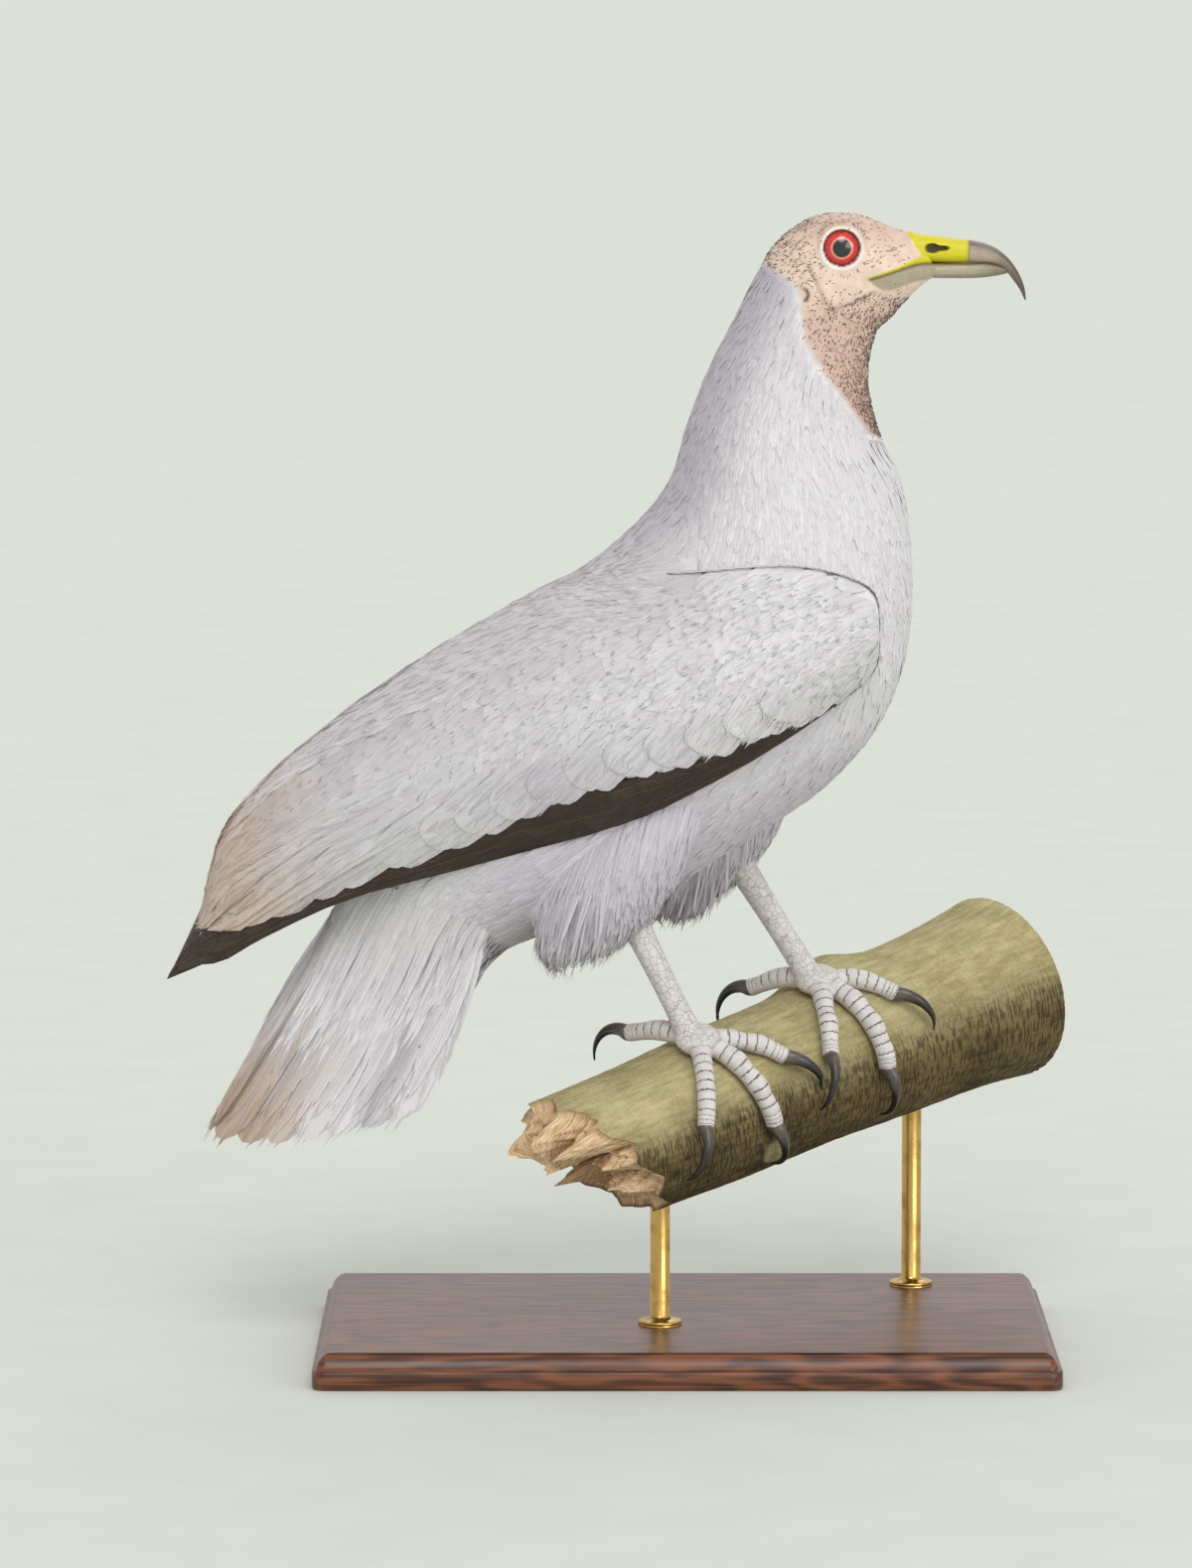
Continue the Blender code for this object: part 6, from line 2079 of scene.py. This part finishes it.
def make_bill():
    rings = np.array(section_rings(CERE, 0.0, 3.0, 90, 120, (2.3, 2.3)))
    flat = rings.reshape(-1, 3)
    flat[:, 1] *= 1.0 - 0.42 * nostril_mask(flat)
    ring_object("bill_cere", rings, "cere", ["cere"], cere_tint)
    rings = section_rings(UPPER_BILL, 0.0, 6.0, 70, 56, (2.3, 2.0))
    ring_object("bill_hook", rings, "bill", ["bill_upper"], upper_tint)
    rings = section_rings(LOWER_BILL, 0.0, 5.0, 80, 56, (2.3, 2.0))
    ring_object("bill_under", rings, "bill", ["bill_lower"], lower_tint)


def claw_tint(root, tip):
    """Grey-brown horn at the root, dark towards the tip."""
    def tint(points):
        share = np.linalg.norm(points - root, axis=1) / np.linalg.norm(tip - root)
        return mix(np.broadcast_to(CLAW_BROWN, points.shape), CLAW_DARK, smooth_step(share, 0.1, 0.6))

    return tint


def make_claws():
    for side in SIDES:
        for toe, sizes in TOES[side].items():
            points, _, along = toe_path(side, *sizes)
            path, radii = claw_path(points, along)
            back = path[0] - (points[-1] - points[-2]).normalized() * 3.0
            path, radii = resampled([back] + path, [radii[0] * 0.9] + list(radii), 0.6)
            rings, tint = tube_rings(path, radii, 24, 0.84), claw_tint(path[0], path[-1])
            name = f"{toe}_claw_{side}"
            ring_object(f"hooked_{name}", rings, "claw", [name], tint)


# An old side twig's stump: place along and round the branch, height and size.
STUB = (15.0, math.radians(124.0), 3.4, 9.0)
SPLINTERS = (10.0, 30.0, 16.0, 24.0, 8.0, 20.0, 28.0, 14.0, 22.0, 12.0)
# How much of their length the splinters have, by the share of the radius that they stand at.
SPLINTER_REACH = (0.02, 0.28, 0.45, 0.60, 0.74, 0.86, 0.94), (0.3, 0.5, 0.75, 1.0, 0.55, 0.02, 0.0)
PERCH_SIDES, BARK_TOOTH = 20, 4.0


def break_shape(turns):
    """Where the bark ends round the broken end, and how far the wood splinters stand out of it."""
    corner = (turns + math.pi) / (2 * math.pi) * PERCH_SIDES
    odd = 1.0 - np.abs(corner % 2.0 - 1.0)
    middle, slant = PERCH_BREAK
    ragged = np.array([noise.noise((math.cos(t) * 9.0, math.sin(t) * 9.0, 3.0)) for t in turns])
    edge = middle - slant * np.cos(turns) + BARK_TOOTH * (1.0 - 2.0 * odd) + 2.5 * ragged
    which = ((corner // 2) % len(SPLINTERS)).astype(int)
    return edge, 4.0 + (np.array(SPLINTERS)[which] - 4.0) * odd**1.3


def grain_places(along, radius, turns, length, width):
    """Places for noise that is drawn out along the branch."""
    across = (radius * np.cos(turns) / width, radius * np.sin(turns) / width)
    return np.stack((along / length, *across), axis=-1).tolist()


def stub_gap(along, radius, turns):
    """The distance from the side twig's stump, over the stump's size."""
    return np.hypot(along - STUB[0], radius * (turns - STUB[1])) / STUB[3]


def branch_layers(turns):
    """The branch's rings from the sawn end to the break: places along it, radii and share of bare wood."""
    edge, splinter = break_shape(turns)
    for share in np.linspace(0.0, 1.0, 5)[:-1]:
        radius = bark_radius(PERCH_TO, turns) * (0.02 + 0.98 * share) * 0.985
        yield np.full(len(turns), PERCH_TO), radius, 0.8
    for share in np.linspace(0.0, 1.0, 220) ** 0.9:
        along = PERCH_TO + (edge - PERCH_TO) * share
        radius = bark_radius(along, turns)
        radius = radius + STUB[2] * np.exp(-(stub_gap(along, radius, turns) ** 4))
        grain = grain_places(along, radius, turns, 30.0, 4.2)
        furrow = np.array([noise.fractal(place, 1.0, 2.1, 3) for place in grain])
        yield along, radius - 0.35 - 0.75 * np.abs(furrow) ** 0.8, 0.0
    for depth in np.linspace(0.0, 1.0, 46)[1:]:
        level = 0.94 - 0.92 * depth
        along = edge + 1.2 - np.interp(level, *SPLINTER_REACH) * splinter
        radius = bark_radius(along, turns) * level
        grain = grain_places(along, radius, turns, 40.0, 2.6)
        fibre = np.array([noise.noise(place) for place in grain])
        yield along + 4.0 * fibre * smooth_step(0.92 - level, 0.0, 0.15), radius, 1.0


def with_ends(values):
    """Values on rings, with the end rings' own repeated for the rings that close them."""
    return np.concatenate((values[:1], values, values[-1:])).reshape(-1)


def make_branch():
    """Furrowed bark, a sawn far end and, at the broken end, torn wood with splinters."""
    turns = np.linspace(-math.pi, math.pi, 240, endpoint=False)
    outward = np.cos(turns)[:, None] * np.array(PERCH_UP) + np.sin(turns)[:, None] * np.array(PERCH_SIDEWAYS)
    layers = list(branch_layers(turns))
    middle, axis = np.array(PERCH_POINT), np.array(PERCH_AXIS)
    rings = [middle + along[:, None] * axis + outward * radius[:, None] for along, radius, _ in layers]
    alongs = np.array([along for along, _, _ in layers])
    torn = np.array([np.full(len(turns), wood) for _, _, wood in layers])
    # How far the bark faces up and towards the camera, which sets its painted light and shade.
    up = np.broadcast_to(outward[:, 2] * 0.9 - outward[:, 1] * 0.25, alongs.shape)
    floats = {
        "along": with_ends(alongs),
        "around": with_ends(np.broadcast_to(turns * PERCH_RADIUS, alongs.shape)),
        "stub": with_ends(smooth_step(1.0 - stub_gap(alongs, PERCH_RADIUS, turns), 0.0, 0.2)),
        "torn": with_ends(torn),
        "top": smooth_step(with_ends(up), 0.0, 0.75),
    }
    ring_object("branch", rings, "bark", ["perch_branch"], None, floats)


BOARD_SIZE, BOARD_CORNER = (370.0, 250.0), 7.0
BOARD_PROFILE = (
    (1.2, 0.0), (0.0, 1.2), (0.0, 8.6), (0.5, 9.4), (2.0, 9.8), (2.3, 11.4), (3.2, 13.6), (4.8, 15.8),
    (6.6, 17.2), (8.4, 17.9), (9.6, 18.0),
)
RODS = {"front": -30.0, "rear": 150.0}
ROD_RADIUS, COLLAR_RADIUS, COLLAR_HEIGHT = 5.0, 11.0, 4.0


def board_ring(inset, height):
    """The board's rounded outline, drawn in by the inset."""
    ring, radius = [], BOARD_CORNER - inset
    for k in range(64):
        quarter, step = divmod(k, 16)
        sweep = math.radians(90.0 * quarter) + step / 15.0 * math.pi / 2
        corner_x = (BOARD_SIZE[0] / 2 - BOARD_CORNER) * (1 if quarter in (0, 3) else -1)
        corner_y = (BOARD_SIZE[1] / 2 - BOARD_CORNER) * (1 if quarter in (0, 1) else -1)
        ring.append((corner_x + radius * math.cos(sweep), corner_y + radius * math.sin(sweep), height))
    return ring


def rod_profile(bottom, top):
    """A rod's radii and heights: a collar with a round rim, a hollow neck, and the plain rod."""
    profile = [(COLLAR_RADIUS - 0.5, bottom)]
    for a in np.linspace(0, 3.1, 9):
        profile.append((COLLAR_RADIUS - 0.6 + 0.6 * math.sin(a), bottom + 1.4 - 0.9 * math.cos(a)))
    for t in np.linspace(0.0, 1.0, 9):
        radius = COLLAR_RADIUS - 2.0 - (COLLAR_RADIUS - 2.4 - ROD_RADIUS) * t**0.6
        profile.append((radius, bottom + 2.4 + (COLLAR_HEIGHT - 2.4) * t**1.6))
    return profile + [(ROD_RADIUS, bottom + COLLAR_HEIGHT + 0.6), (ROD_RADIUS, top)]


def make_stand():
    """A moulded board and two brass rods with turned collars."""
    rings = [board_ring(inset, height) for inset, height in BOARD_PROFILE]
    ring_object("stand_board", rings, "board", ["stand_base"], drawn=False)
    turns = full_turn(48)
    for name, along in RODS.items():
        x, y, _ = PERCH_POINT + PERCH_AXIS * along
        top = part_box(f"stand_rod_{name}")[1].z / MM + 1.0
        rings = [
            np.stack((x + radius * np.cos(turns), y + radius * np.sin(turns), np.full(48, height)), axis=-1)
            for radius, height in rod_profile(BOARD_PROFILE[-1][1], top)
        ]
        ring_object(f"stand_brass_{name}", rings, "brass", [f"stand_rod_{name}"])


# ---- stage and camera --------------------------------------------------------------------------------
CAMERA_TARGET, CAMERA_ELEVATION, CAMERA_DISTANCE = (-45.0, 0.0, 287.3), 6.0, 3950.0
FLOOR, SURROUND = linear(216, 221, 211), tuple(linear(253, 252, 253))
SURROUND_LIGHT = 0.70
FLOOR_REACH = 400000.0
# Each light's name, direction, spread in degrees and power.
LIGHTS = (
    ("key", (0.0, 1.0, -0.92), 30.0, 1.0),
    ("fill", (-0.8, 1.0, -0.15), 40.0, 1.15),
    ("rim", (-0.2, -1.0, -0.9), 40.0, 0.35),
)


def make_floor():
    corners = [(x, y, 0.0) for x, y in ((-1, -1), (1, -1), (1, 1), (-1, 1))]
    floor = quad_mesh("floor", np.array(corners) * FLOOR_REACH, np.array([(0, 1, 2, 3)]))
    n = Nodes("floor_paint", 0.9, 0.2)
    speckle = n.ramp(n.noise(n.place(60.0)), 0.3, 0.7, 0.985, 1.015)
    floor.data.materials.append(n.finish(n.shaded(FLOOR, speckle)))


def make_lights():
    for name, aim, spread, power in LIGHTS:
        light = bpy.data.lights.new(name, "SUN")
        light.angle = math.radians(spread)
        light.energy = power
        lamp = bpy.data.objects.new(name, light)
        lamp.rotation_mode = "QUATERNION"
        lamp.rotation_quaternion = Vector(aim).to_track_quat("-Z", "Y")
        bpy.context.scene.collection.objects.link(lamp)


def make_stage():
    """A wide pale floor, an even pale surround and three soft lights."""
    make_floor()
    world = bpy.data.worlds.new("surround")
    world.use_nodes = True
    background = world.node_tree.nodes["Background"]
    background.inputs["Color"].default_value = (*SURROUND, 1.0)
    background.inputs["Strength"].default_value = SURROUND_LIGHT
    scene = bpy.context.scene
    scene.world = world
    make_lights()
    scene.view_settings.view_transform = "Standard"
    scene.view_settings.look = "None"
    scene.view_settings.exposure = 0.0
    scene.view_settings.gamma = 1.0


def make_camera():
    data = bpy.data.cameras.new("camera")
    data.lens = 180.0
    data.sensor_width = 36.0
    data.sensor_fit = "AUTO"
    data.clip_end = 1000.0
    camera = bpy.data.objects.new("camera", data)
    bpy.context.scene.collection.objects.link(camera)
    elevation = math.radians(CAMERA_ELEVATION)
    back = Vector((0.0, -math.cos(elevation), math.sin(elevation)))
    camera.location = (Vector(CAMERA_TARGET) + back * CAMERA_DISTANCE) * MM
    camera.rotation_euler = (math.radians(90.0 - CAMERA_ELEVATION), 0.0, 0.0)
    bpy.context.scene.camera = camera


make_stage()
make_camera()
make_skin()
make_stubble()
make_eyes()
make_bill()
make_claws()
make_branch()
make_stand()
body_coat("coat_rump", 0.0, 3.0, tail_coverts())
body_coat("coat_breast", 3.0, 10.0)
body_coat("coat_neck", 10.0, 15.5)
make_mantle()
coverts, flight = {"right": covert_sets()}, {"right": flight_sets()}
coverts["left"], flight["left"] = mirrored(coverts["right"]), mirrored(flight["right"])
for side in SIDES:
    feathers(f"coat_wing_{side}", coverts[side], "white_feather")
    vanes = feathers(f"flight_vanes_{side}", flight[side], "black_feather")
    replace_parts(vanes, f"flight_feathers_{side}")
    feathers(f"coat_thigh_{side}", thigh_sets(side), "white_feather")
make_tail()
